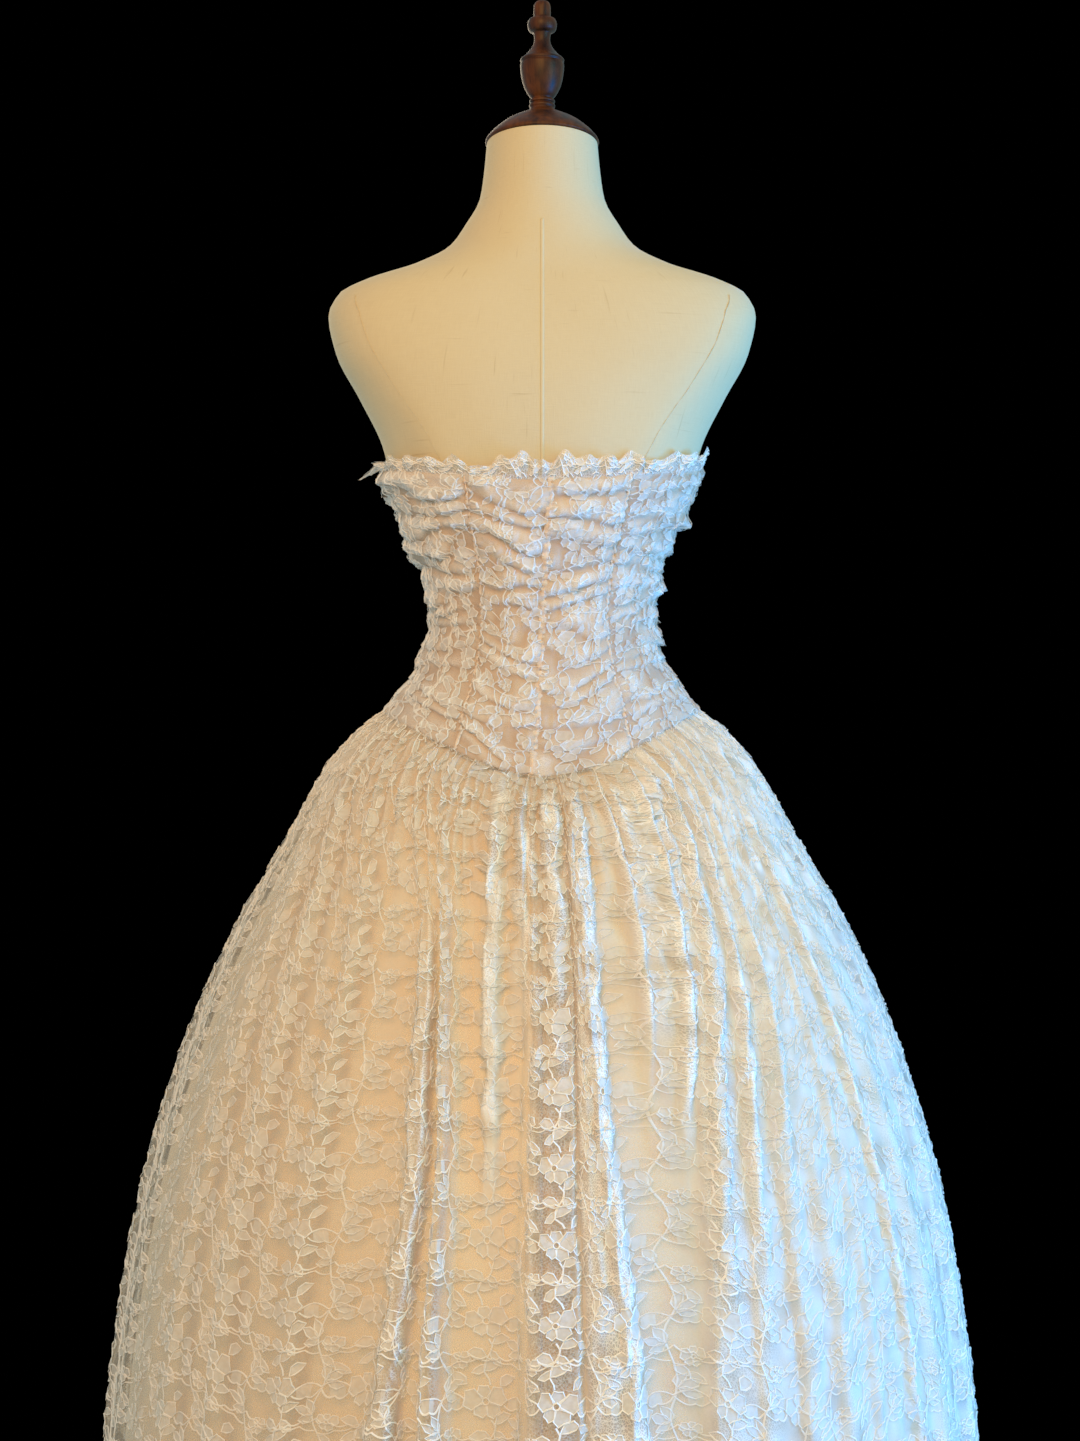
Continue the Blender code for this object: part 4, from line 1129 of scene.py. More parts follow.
def net_material(name, colour, doubled, thinnest):
    """Fine net: thin threads round small openings.

    It is closed up and paler where "ridge" says that it is doubled, and also on the crests of the
    skirt's gathers and the tops of the bodice's puffs, where it is a painted highlight. It is thinner
    where "ridge" is below nought, down in the bodice's tucks over painted shade. It shows less the
    further "stand" says that it is off the satin.
    """
    made, shader = new_material(name, colour, roughness=0.75, sheen=0.2)
    tree = made.node_tree
    link = tree.links.new
    flat = node(tree, "ShaderNodeUVMap", uv_map="UVMap")
    cells = node(tree, "ShaderNodeTexVoronoi", feature="DISTANCE_TO_EDGE", Scale=470.0)
    link(flat.outputs["UV"], cells.inputs["Vector"])
    stand = node(tree, "ShaderNodeAttribute", attribute_name="stand")
    thread = node(tree, "ShaderNodeMapRange", interpolation_type="SMOOTHSTEP")
    thread.inputs["From Min"].default_value = 0.02
    thread.inputs["From Max"].default_value = 0.16
    for socket, close, open_out in (("To Min", 0.32, 0.54), ("To Max", 0.29, thinnest)):
        strength = node(tree, "ShaderNodeMapRange")
        strength.inputs["From Min"].default_value = 0.25
        strength.inputs["To Min"].default_value = close
        strength.inputs["To Max"].default_value = open_out
        link(stand.outputs["Fac"], strength.inputs["Value"])
        link(strength.outputs["Result"], thread.inputs[socket])
    link(cells.outputs["Distance"], thread.inputs["Value"])
    ridge = node(tree, "ShaderNodeAttribute", attribute_name="ridge")
    closed = node(tree, "ShaderNodeMath", operation="MULTIPLY_ADD", use_clamp=True)
    link(ridge.outputs["Fac"], closed.inputs[0])
    closed.inputs[1].default_value = 0.58
    link(thread.outputs["Result"], closed.inputs[2])
    link(closed.outputs[0], shader.inputs["Alpha"])
    tone = node(tree, "ShaderNodeMix", data_type="RGBA")
    link(ridge.outputs["Fac"], tone.inputs["Factor"])
    tone.inputs["A"].default_value = (*colour, 1.0)
    tone.inputs["B"].default_value = (*doubled, 1.0)
    link(tone.outputs["Result"], shader.inputs["Base Color"])
    return made


def thread_material(name, colour, deep, low, high):
    """Worked thread; it shows up more strongly the further the lace stands off the satin.

    Where the lace lies close to the satin, a cord's lower edge gets painted shade.
    """
    made, shader = new_material(name, colour, roughness=0.6, sheen=0.2)
    tree = made.node_tree
    link = tree.links.new
    flat = node(tree, "ShaderNodeTexCoord")
    uneven = node(tree, "ShaderNodeTexNoise", Scale=240.0, Detail=2.0)
    link(flat.outputs["Object"], uneven.inputs["Vector"])
    spread = node(tree, "ShaderNodeMapRange")
    spread.inputs["From Min"].default_value = 0.38
    spread.inputs["From Max"].default_value = 0.62
    link(uneven.outputs["Fac"], spread.inputs["Value"])
    mixed = node(tree, "ShaderNodeMix", data_type="RGBA")
    mixed.inputs["A"].default_value = (*deep, 1.0)
    mixed.inputs["B"].default_value = (*colour, 1.0)
    link(spread.outputs["Result"], mixed.inputs["Factor"])
    # Painted shade: a cord's lower edge is mixed towards dark brown, most where the lace lies on the
    # satin.
    edge = node(tree, "ShaderNodeAttribute", attribute_name="under")
    stand = node(tree, "ShaderNodeAttribute", attribute_name="stand")
    shade = node(tree, "ShaderNodeMapRange")
    shade.inputs["From Max"].default_value = 0.6
    shade.inputs["To Min"].default_value = 0.85
    shade.inputs["To Max"].default_value = 0.16
    link(stand.outputs["Fac"], shade.inputs["Value"])
    dark = node(tree, "ShaderNodeMapRange")
    dark.inputs["From Min"].default_value = 0.45
    link(edge.outputs["Fac"], dark.inputs["Value"])
    link(shade.outputs["Result"], dark.inputs["To Max"])
    painted_shade = node(tree, "ShaderNodeMix", data_type="RGBA")
    link(dark.outputs["Result"], painted_shade.inputs["Factor"])
    link(mixed.outputs["Result"], painted_shade.inputs["A"])
    painted_shade.inputs["B"].default_value = (0.46, 0.33, 0.22, 1.0)
    link(painted_shade.outputs["Result"], shader.inputs["Base Color"])
    strength = node(tree, "ShaderNodeMapRange")
    strength.inputs["To Min"].default_value = low
    strength.inputs["To Max"].default_value = high
    link(stand.outputs["Fac"], strength.inputs["Value"])
    link(strength.outputs["Result"], shader.inputs["Alpha"])
    return made


NET = net_material("lace_net", (0.86, 0.78, 0.67), doubled=(1.0, 0.97, 0.92), thinnest=0.12)
CORD = thread_material("lace_cord", (1.0, 0.96, 0.90), (0.95, 0.90, 0.82), low=0.58, high=0.97)
WORKED = thread_material("lace_worked", (0.94, 0.89, 0.81), (0.84, 0.77, 0.67), low=0.36, high=0.64)


def repeat_grid(tree, given):
    """A flat grid with one point for each repeat of the lace."""
    link = tree.links.new
    spans = []
    for count, size in (("Columns", "Repeat width"), ("Rows", "Repeat height")):
        less = node(tree, "ShaderNodeMath", operation="SUBTRACT")
        link(given.outputs[count], less.inputs[0])
        less.inputs[1].default_value = 1.0
        span = node(tree, "ShaderNodeMath", operation="MULTIPLY")
        link(less.outputs[0], span.inputs[0])
        link(given.outputs[size], span.inputs[1])
        spans.append(span)
    grid = node(tree, "GeometryNodeMeshGrid")
    link(spans[0].outputs[0], grid.inputs["Size X"])
    link(spans[1].outputs[0], grid.inputs["Size Y"])
    link(given.outputs["Columns"], grid.inputs["Vertices X"])
    link(given.outputs["Rows"], grid.inputs["Vertices Y"])
    half = node(tree, "ShaderNodeCombineXYZ")
    link(spans[0].outputs[0], half.inputs["X"])
    link(spans[1].outputs[0], half.inputs["Y"])
    middle = node(tree, "ShaderNodeVectorMath", operation="MULTIPLY_ADD")
    link(half.outputs[0], middle.inputs[0])
    middle.inputs[1].default_value = (0.5, 0.5, 0.5)
    link(given.outputs["First repeat"], middle.inputs[2])
    moved = node(tree, "GeometryNodeTransform")
    link(grid.outputs["Mesh"], moved.inputs["Geometry"])
    link(middle.outputs[0], moved.inputs["Translation"])
    return moved


def motifs_on(tree, given, moved):
    """Every motif at every point of the grid, as one flat mesh."""
    link = tree.links.new
    joined = node(tree, "GeometryNodeJoinGeometry")
    for motif in MOTIFS:
        chosen = node(tree, "GeometryNodeObjectInfo")
        link(given.outputs[motif.name], chosen.inputs["Object"])
        laid = node(tree, "GeometryNodeInstanceOnPoints")
        link(moved.outputs["Geometry"], laid.inputs["Points"])
        link(chosen.outputs["Geometry"], laid.inputs["Instance"])
        link(given.outputs["Motif size"], laid.inputs["Scale"])
        if motif.name in TURNED_MOTIFS:
            turned_by = node(tree, "FunctionNodeRandomValue", data_type="FLOAT_VECTOR")
            turned_by.inputs["Min"].default_value = (0.0, 0.0, -MOST_TURN)
            turned_by.inputs["Max"].default_value = (0.0, 0.0, MOST_TURN)
            turned_by.inputs["Seed"].default_value = TURNED_MOTIFS.index(motif.name) + 5
            link(turned_by.outputs["Value"], laid.inputs["Rotation"])
        link(laid.outputs["Instances"], joined.inputs["Geometry"])
    real = node(tree, "GeometryNodeRealizeInstances")
    link(joined.outputs["Geometry"], real.inputs["Geometry"])
    return real


def read_on_cloth(tree, given, flat_place):
    """The cloth's place, normal and stand where each flat point comes to lie on it."""
    link = tree.links.new
    flat_map = node(tree, "GeometryNodeInputNamedAttribute", data_type="FLOAT_VECTOR")
    flat_map.inputs["Name"].default_value = "UVMap"
    stand_off = node(tree, "GeometryNodeInputNamedAttribute", data_type="FLOAT")
    stand_off.inputs["Name"].default_value = "stand"
    place = node(tree, "GeometryNodeInputPosition")
    normal = node(tree, "GeometryNodeInputNormal")
    picked = []
    wanted = ((place, 0, "FLOAT_VECTOR"), (normal, 0, "FLOAT_VECTOR"), (stand_off, 0, "FLOAT"))
    for source, output, kind in wanted:
        taken = node(tree, "GeometryNodeSampleUVSurface", data_type=kind)
        link(given.outputs["Geometry"], taken.inputs["Mesh"])
        link(source.outputs[output], taken.inputs["Value"])
        link(flat_map.outputs["Attribute"], taken.inputs["Source UV Map"])
        link(flat_place.outputs[0], taken.inputs["Sample UV"])
        picked.append(taken)
    return picked


def lace_tree():
    """Lays the motifs out in rows over a cloth's flat coordinates, and carries them onto it."""
    tree = bpy.data.node_groups.new("lace_over_cloth", "GeometryNodeTree")
    ins = [("Geometry", "NodeSocketGeometry", None)]
    ins += [(motif.name, "NodeSocketObject", None) for motif in MOTIFS]
    ins += [
        ("Repeat width", "NodeSocketFloat", REPEAT_WIDTH),
        ("Repeat height", "NodeSocketFloat", REPEAT_HEIGHT),
        ("Columns", "NodeSocketInt", 10),
        ("Rows", "NodeSocketInt", 10),
        ("First repeat", "NodeSocketVector", None),
        ("Motif size", "NodeSocketVector", (1.0, 1.0, 1.0)),
        ("Lift", "NodeSocketFloat", 0.0002),
        ("Cord", "NodeSocketMaterial", None),
        ("Worked", "NodeSocketMaterial", None),
    ]
    given, result = group_sockets(tree, ins, [("Geometry", "NodeSocketGeometry")])
    link = tree.links.new
    real = motifs_on(tree, given, repeat_grid(tree, given))
    flat_place = node(tree, "GeometryNodeInputPosition")
    picked = read_on_cloth(tree, given, flat_place)
    height = node(tree, "ShaderNodeSeparateXYZ")
    link(flat_place.outputs[0], height.inputs[0])
    raised = node(tree, "ShaderNodeMath", operation="ADD")
    link(height.outputs["Z"], raised.inputs[0])
    link(given.outputs["Lift"], raised.inputs[1])
    outward = node(tree, "ShaderNodeVectorMath", operation="SCALE")
    link(picked[1].outputs["Value"], outward.inputs[0])
    link(raised.outputs[0], outward.inputs["Scale"])
    target = node(tree, "ShaderNodeVectorMath", operation="ADD")
    link(picked[0].outputs["Value"], target.inputs[0])
    link(outward.outputs[0], target.inputs[1])
    off_cloth = node(tree, "FunctionNodeBooleanMath", operation="NOT")
    link(picked[0].outputs["Is Valid"], off_cloth.inputs[0])
    held = node(tree, "GeometryNodeCaptureAttribute", domain="POINT")
    held.capture_items.new("VECTOR", "Target")
    held.capture_items.new("BOOLEAN", "Off")
    held.capture_items.new("FLOAT", "Stand")
    link(real.outputs["Geometry"], held.inputs["Geometry"])
    link(target.outputs[0], held.inputs["Target"])
    link(off_cloth.outputs[0], held.inputs["Off"])
    link(picked[2].outputs["Value"], held.inputs["Stand"])
    carried = node(tree, "GeometryNodeSetPosition")
    link(held.outputs["Geometry"], carried.inputs["Geometry"])
    link(held.outputs["Target"], carried.inputs["Position"])
    kept = node(tree, "GeometryNodeDeleteGeometry", domain="POINT")
    link(carried.outputs["Geometry"], kept.inputs["Geometry"])
    link(held.outputs["Off"], kept.inputs["Selection"])
    noted = node(tree, "GeometryNodeStoreNamedAttribute", data_type="FLOAT", domain="POINT")
    noted.inputs["Name"].default_value = "stand"
    link(kept.outputs["Geometry"], noted.inputs["Geometry"])
    link(held.outputs["Stand"], noted.inputs["Value"])
    worked = node(tree, "GeometryNodeSetMaterial")
    link(noted.outputs["Geometry"], worked.inputs["Geometry"])
    link(given.outputs["Worked"], worked.inputs["Material"])
    cord_mark = node(tree, "GeometryNodeInputNamedAttribute", data_type="INT")
    cord_mark.inputs["Name"].default_value = "cord"
    corded = node(tree, "GeometryNodeSetMaterial")
    link(worked.outputs["Geometry"], corded.inputs["Geometry"])
    link(cord_mark.outputs["Attribute"], corded.inputs["Selection"])
    link(given.outputs["Cord"], corded.inputs["Material"])
    link(corded.outputs["Geometry"], result.inputs["Geometry"])
    return tree


LACE_OVER_CLOTH = lace_tree()


def set_inputs(modifier, values):
    """Sets a Geometry Nodes modifier's inputs by their sockets' identifiers."""
    for item in modifier.node_group.interface.items_tree:
        if item.item_type == "SOCKET" and item.in_out == "INPUT" and item.name in values:
            modifier[item.identifier] = values[item.name]


def lace_work(name, cloth, uv, size=1.0, lift=0.0002, cord=CORD, worked=WORKED):
    """The corded flowers of one cloth, as a mesh that lies on it."""
    repeat = np.array((REPEAT_WIDTH, REPEAT_HEIGHT)) * size
    low, high = uv.reshape(-1, 2).min(axis=0), uv.reshape(-1, 2).max(axis=0)
    first = np.floor(low / repeat) - 1.0
    count = (np.ceil(high / repeat) + 1.0 - first).astype(int) + 1
    work = bpy.data.objects.new(name, cloth.data.copy())
    bpy.context.scene.collection.objects.link(work)
    over = work.modifiers.new("lace", "NODES")
    over.node_group = LACE_OVER_CLOTH
    values = {motif.name: motif for motif in MOTIFS}
    values["Repeat width"] = float(repeat[0])
    values["Repeat height"] = float(repeat[1])
    values["Columns"] = int(count[0])
    values["Rows"] = int(count[1])
    values["First repeat"] = (*(first * repeat).tolist(), 0.0)
    values["Motif size"] = (size, size, 1.0)
    values["Lift"] = float(lift)
    values["Cord"] = cord
    values["Worked"] = worked
    set_inputs(over, values)
    seen = work.evaluated_get(bpy.context.evaluated_depsgraph_get())
    mesh = bpy.data.meshes.new_from_object(seen)
    bpy.data.objects.remove(work)
    mesh.name = name
    made = bpy.data.objects.new(name, mesh)
    bpy.context.scene.collection.objects.link(made)
    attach(made, "root")
    return made


# ---- The lace overskirt -------------------------------------------------------------------------
# The five widths themselves: net on the drape worked out above, seamed where the folds hide it,
# with their flowers in columns that run down from the waist.

LACE_WIDTHS = (
    Panel(name="skirt_lace_back_left", start=-58.0, end=-2.1),
    Panel(name="skirt_lace_back_right", start=-2.1, end=58.0),
    Panel(name="skirt_lace_side_left", start=-124.0, end=-58.0),
    Panel(name="skirt_lace_side_right", start=58.0, end=124.0),
    Panel(name="skirt_lace_front", start=124.0, end=236.0),
)
LACE_ROWS = 110
FULL_WIDTH_AT = 0.62  # share of the fall where the folded lace takes up its whole flat width
POINT_AT_HEM = 0.0029  # spacing of the mesh's columns along the folded cloth
POINT_AT_WAIST = 0.0014
FLOWER_COLUMNS = (-5.8, 1.6, 14.6)  # threads that a column of flowers runs down
FLOWER_ROW_Z = 0.563

fine = np.arange(-124.0, 236.001, 0.02)[None, :]
level = lace_surface(fine, np.array([[FULL_WIDTH_AT]]))
run_hem = cloth_run(level, axis=1)[0]
run_waist = cloth_run(lace_surface(fine, np.array([[0.0]])), axis=1)[0]
density = np.maximum(np.gradient(run_hem) / POINT_AT_HEM, np.gradient(run_waist) / POINT_AT_WAIST)
column_count = np.cumsum(density)
marks = np.interp(FLOWER_COLUMNS, fine[0], run_hem)
ends = (marks[0] - 1.0, *marks, marks[2] + 1.0)
flat_ends = (-REPEAT_WIDTH - 1.0, -REPEAT_WIDTH, 0.0, REPEAT_WIDTH, REPEAT_WIDTH + 1.0)
flat_across = np.interp(run_hem, ends, flat_ends)
flat_across = np.where(run_hem < ends[0], run_hem - ends[0] + flat_ends[0], flat_across)
flat_across = np.where(run_hem > ends[-1], run_hem - ends[-1] + flat_ends[-1], flat_across)


for width in LACE_WIDTHS:
    first, last = np.interp((width.start, width.end), fine[0], column_count)
    wanted = np.linspace(first, last, int(last - first) + 1)
    thread = np.interp(wanted, column_count, fine[0])[None, :]
    thread[0, 0], thread[0, -1] = width.start, width.end
    fall = skirt_rows(LACE_ROWS)
    points = lace_surface(thread, fall)
    across = np.interp(thread, fine[0], flat_across)
    plain = at(thread, bell_radius(thread, fall), points[..., 2])
    down = cloth_run(plain, axis=0)
    up = down[-1:] - down
    row_at = np.interp(FLOWER_ROW_Z, points[::-1, 0, 2], up[::-1, 0])
    far = smoothstep((np.abs(from_back(thread)) - 9.0) / 16.0)
    uneven_rows = 0.013 * far * wander(53, thread, (4, 7, 11))
    uv = np.stack(np.broadcast_arrays(across, up - row_at + uneven_rows), axis=-1)
    round_figure = thread_angle(thread, fall) * 3.2
    pulled = 0.0030 * (1.0 - smoothstep((fall - 0.02) / 0.16))
    pulled = 0.0014 + pulled * (1.0 - 0.6 * smoothstep((thread + 9.0) / 5.0))
    strayed = crumple(51, round_figure, fall * SKIRT_FALL, 30.0)
    slipped = crumple(52, round_figure, fall * SKIRT_FALL, 30.0)
    laid_out = uv + pulled[..., None] * np.stack((strayed, slipped), axis=-1)
    mesh = sheet_mesh(points, laid_out)
    stand, ridge = drape(thread, fall)
    mark(mesh, "ridge", ridge)
    closer = 0.50 * smoothstep((np.abs(from_back(thread)) - 21.0) / 12.0)
    off = smoothstep((stand + 0.004) / 0.014) * (1.0 - closer)
    mark(mesh, "stand", np.maximum(off, 0.45 * (1.0 - smoothstep((fall - 0.03) / 0.12))))
    cloth = shown(mesh, width.name + "_net", NET)
    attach(cloth, "root")
    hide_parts(width.name)
    flowers = lace_work(width.name + "_flowers", cloth, uv)

# ---- The ruched bodice --------------------------------------------------------------------------
# Seven panels of satin under lace turned sideways, drawn up together into soft tucks that are
# caught down at each seam. The lace puffs out over the satin between the stitches.

NECK_BACK_Z = 1.188
NECK_SIDE_RISE = 0.020
NECK_PEAK_RISE = 0.032
NECK_PEAK_ANGLE = 36.0
NECK_PEAK_SPREAD = 30.0
BODICE_WALL = 0.0010
PANEL_FALL = 270.0  # a panel's length from neck edge to waist, in millimetres
PANEL_DEGREE = 62.0 / 36.0  # its width in millimetres for each degree round the figure
TUCKS = 13
TUCK_DEPTH = 0.0037
LACE_FULLNESS = 1.45  # flat length of lace drawn up into each length of bodice
CUT_APART = 0.31  # each panel is cut from another place on its cloth

BODICE_PANELS = (
    Panel(name="bodice_back_left", start=-37.0, end=0.0),
    Panel(name="bodice_back_right", start=0.0, end=40.0),
    Panel(name="bodice_side_back_left", start=-90.0, end=-37.0),
    Panel(name="bodice_side_back_right", start=40.0, end=90.0),
    Panel(name="bodice_side_front_left", start=-145.0, end=-90.0),
    Panel(name="bodice_side_front_right", start=90.0, end=145.0),
    Panel(name="bodice_front", start=145.0, end=215.0),
)

# Tucks that stand out more than the others at the sides.
Pouf = namedtuple("Pouf", "angle z out above below")
POUFS = (
    Pouf(angle=84.0, z=1.155, out=0.007, above=0.008, below=0.003),
    Pouf(angle=92.0, z=1.130, out=0.004, above=0.006, below=0.003),
    Pouf(angle=86.0, z=1.098, out=0.006, above=0.008, below=0.008),
    Pouf(angle=88.0, z=1.066, out=0.003, above=0.009, below=0.008),
    Pouf(angle=90.0, z=1.047, out=0.008, above=0.006, below=0.003),
    Pouf(angle=84.0, z=1.012, out=0.007, above=0.007, below=0.007),
    Pouf(angle=-88.0, z=1.128, out=0.008, above=0.018, below=0.008),
    Pouf(angle=-84.0, z=1.186, out=0.004, above=0.010, below=0.005),
    Pouf(angle=-92.0, z=1.030, out=0.004, above=0.012, below=0.006),
)


def neck_edge_z(angle):
    """Height of the bodice's top edge."""
    side = NECK_SIDE_RISE * np.minimum(1.0, 1.0 - np.cos(np.radians(angle)))
    cup = (np.abs(from_front(angle)) - NECK_PEAK_ANGLE) / NECK_PEAK_SPREAD
    return NECK_BACK_Z + side + NECK_PEAK_RISE * np.exp(-(cup**2))


def seam_drift(angle, down):
    """The centre back seam leans to the left as it comes down."""
    return angle + 4.5 * (1.0 - 2.0 * down) * np.exp(-((angle / 30.0) ** 2))


def ruching(panel, share, down, seed):
    """Angle, height and puffing out of the satin and of the lace over it, and tuck depth."""
    picked = np.random.default_rng(seed)
    angle = seam_drift(panel.start + (panel.end - panel.start) * share, down)
    top, bottom = neck_edge_z(angle), waist_seam_z(angle)
    z = top + (bottom - top) * down
    wide = (panel.end - panel.start) * PANEL_DEGREE
    mid = share - 0.5
    across, along = share * wide, down * PANEL_FALL
    places = np.array((panel.start, (panel.start + panel.end) / 2.0, panel.end))
    level_top, level_bottom = neck_edge_z(places).mean(), waist_seam_z(places).mean()
    level = (level_top - z) / (level_top - level_bottom)
    level = down + 3.0 * down * (1.0 - down) * (level - down)
    sag = picked.uniform(0.10, 0.28) * (1.0 - 4.0 * mid**2)
    phase = TUCKS * level - sag + picked.uniform(-0.5, 0.5) * mid
    phase = phase + 0.38 * crumple(seed + 100, across * 0.6, along, 48.0)
    row = np.floor(phase)
    part = phase - row
    puff = np.sin(math.pi * part**1.2) ** 0.85
    each = picked.uniform(0.45, 1.2, TUCKS + 6)
    deep = each[np.clip(row.astype(int) + 3, 0, TUCKS + 5)]
    deep = deep * (0.85 + 0.25 * crumple(seed + 200, across, along, 45.0))
    caught = 0.40 + 0.60 * (1.0 - np.abs(2.0 * mid) ** 6)
    ends = smoothstep(down / 0.02)
    right = np.sin(np.radians(angle))
    flatter = smoothstep((right - 0.55) / 0.3)
    fluffier = smoothstep((right - 0.62) / 0.25)
    satin = TUCK_DEPTH * puff * np.clip(deep, 0.15, 1.4) * caught * (1.0 - 0.75 * flatter)
    edge = np.minimum(share, 1.0 - share) * wide
    near_seam = np.exp(-((edge / 9.0) ** 2))
    drawn = np.sin(along * 2.0 * math.pi / 6.2 + 2.0 * crumple(seed + 300, across, along, 30.0))
    satin = satin + 0.0009 * near_seam * drawn
    for pouf in POUFS:
        away = from_back(angle - pouf.angle)
        height = (z - pouf.z) / np.where(z > pouf.z, pouf.above, pouf.below)
        satin = satin + pouf.out * np.exp(-(height**2) - (away / 17.0) ** 2)
    above_waist = (1.0 - down) * PANEL_FALL
    roll = np.exp(-(((above_waist - 6.0) / 4.5) ** 2))
    satin = satin * (1.0 - 0.6 * roll) + 0.0038 * roll * smoothstep(above_waist / 4.0)
    fluff = 0.0015 + 0.0016 * fluffier
    small = crumple(seed + 400, across, along, 7.0)
    ripple = crumple(seed + 500, across * 1.8, along * 0.45, 8.0)
    large = crumple(seed + 600, across, along, 17.0)
    relief = (0.35 * small + 0.45 * ripple + 0.4 * large) * (0.35 + 0.65 * puff)
    lace = 0.0012 - 0.0006 * fluffier + fluff * relief
    lace = satin + np.maximum(lace + 0.0010 * puff * deep, 0.0003)
    return angle, z, satin * ends, lace * ends, puff * np.clip(deep, 0.0, 1.3) * caught


def bodice_points(angle, z, out):
    """Points that far outside the form, drooping a little where they stand out."""
    radius = figure_radius(angle, z) + EASE + BODICE_WALL + out
    return at(angle, radius, z - 0.55 * out)


def ruched_satin(name, satin, fold):
    """Peach satin, with painted shade down in the tucks, pinker and darker there."""
    made, shader = new_material(name, satin, roughness=0.55, sheen=0.3)
    tree = made.node_tree
    link = tree.links.new
    flat = node(tree, "ShaderNodeUVMap", uv_map="UVMap")
    cloudy = node(tree, "ShaderNodeTexNoise", Scale=26.0, Detail=3.0)
    link(flat.outputs["UV"], cloudy.inputs["Vector"])
    # Painted shade: where puff is low, down in a tuck, the satin turns to the darker fold colour.
    depth = node(tree, "ShaderNodeAttribute", attribute_name="puff")
    amount = node(tree, "ShaderNodeMath", operation="MULTIPLY_ADD", use_clamp=True)
    link(cloudy.outputs["Fac"], amount.inputs[0])
    amount.inputs[1].default_value = 0.35
    link(depth.outputs["Fac"], amount.inputs[2])
    mixed = node(tree, "ShaderNodeMix", data_type="RGBA")
    mixed.inputs["A"].default_value = (*fold, 1.0)
    mixed.inputs["B"].default_value = (*satin, 1.0)
    link(amount.outputs[0], mixed.inputs["Factor"])
    link(mixed.outputs["Result"], shader.inputs["Base Color"])
    bump = node(tree, "ShaderNodeBump", Strength=0.3, Distance=0.0006)
    link(cloudy.outputs["Fac"], bump.inputs["Height"])
    link(bump.outputs["Normal"], shader.inputs["Normal"])
    return made


# The fold colour is painted shade down in the tucks; on the seam bands it only makes uneven tone.
RUCHED_SATIN = ruched_satin("ruched_satin", satin=(0.82, 0.62, 0.41), fold=(0.46, 0.28, 0.17))
SEAM_SATIN = ruched_satin("seam_satin", satin=(0.90, 0.76, 0.61), fold=(0.76, 0.58, 0.44))
BODICE_NET = net_material("bodice_net", (0.84, 0.76, 0.68), doubled=(0.96, 0.93, 0.90), thinnest=0.20)
BODICE_CORD = thread_material("bodice_cord", (1.0, 0.97, 0.92), (0.95, 0.91, 0.85), 0.44, 0.84)
BODICE_WORKED = thread_material("bodice_worked", (0.95, 0.91, 0.86), (0.84, 0.79, 0.73), 0.34, 0.74)

Seam = namedtuple("Seam", "panel share half_width stand")
BODICE_SEAMS = (
    Seam(panel=1, share=0.0, half_width=0.0032, stand=0.0014),
    Seam(panel=1, share=1.0, half_width=0.0013, stand=0.0012),
    Seam(panel=0, share=0.0, half_width=0.0012, stand=0.0010),
)


def seam_band(name, panel, seam, seed):
    """A narrow puckered band of satin over one seam of the bodice."""
    down = np.linspace(0.0, 1.0, 150)[:, None]
    angle, z, satin_out, _, _ = ruching(panel, np.array([[seam.share]]), down, seed + 60)
    across = np.array([[-1.0, -0.6, 0.0, 0.6, 1.0]])
    along = down * PANEL_FALL
    waver = 0.0005 * crumple(seed + 900, along, 0.0, 9.0)
    pucker = 0.0006 * crumple(seed + 910, along, across * 3.0, 5.0)
    out = satin_out + seam.stand * (1.0 - 0.75 * across**4) + pucker - 0.0003
    radius = figure_radius(angle, z) + EASE
    turned_by = np.degrees((across * seam.half_width + waver) / radius)
    points = bodice_points(angle + turned_by, z, out)
    uv = np.stack(np.broadcast_arrays(across * seam.half_width, -along * 0.001), axis=-1)
    mesh = sheet_mesh(points, uv)
    mark(mesh, "puff", 0.35 + 0.3 * crumple(seed + 920, along, across * 4.0, 6.0))
    band = shown(mesh, name, SEAM_SATIN)
    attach(band, "root")
    return band


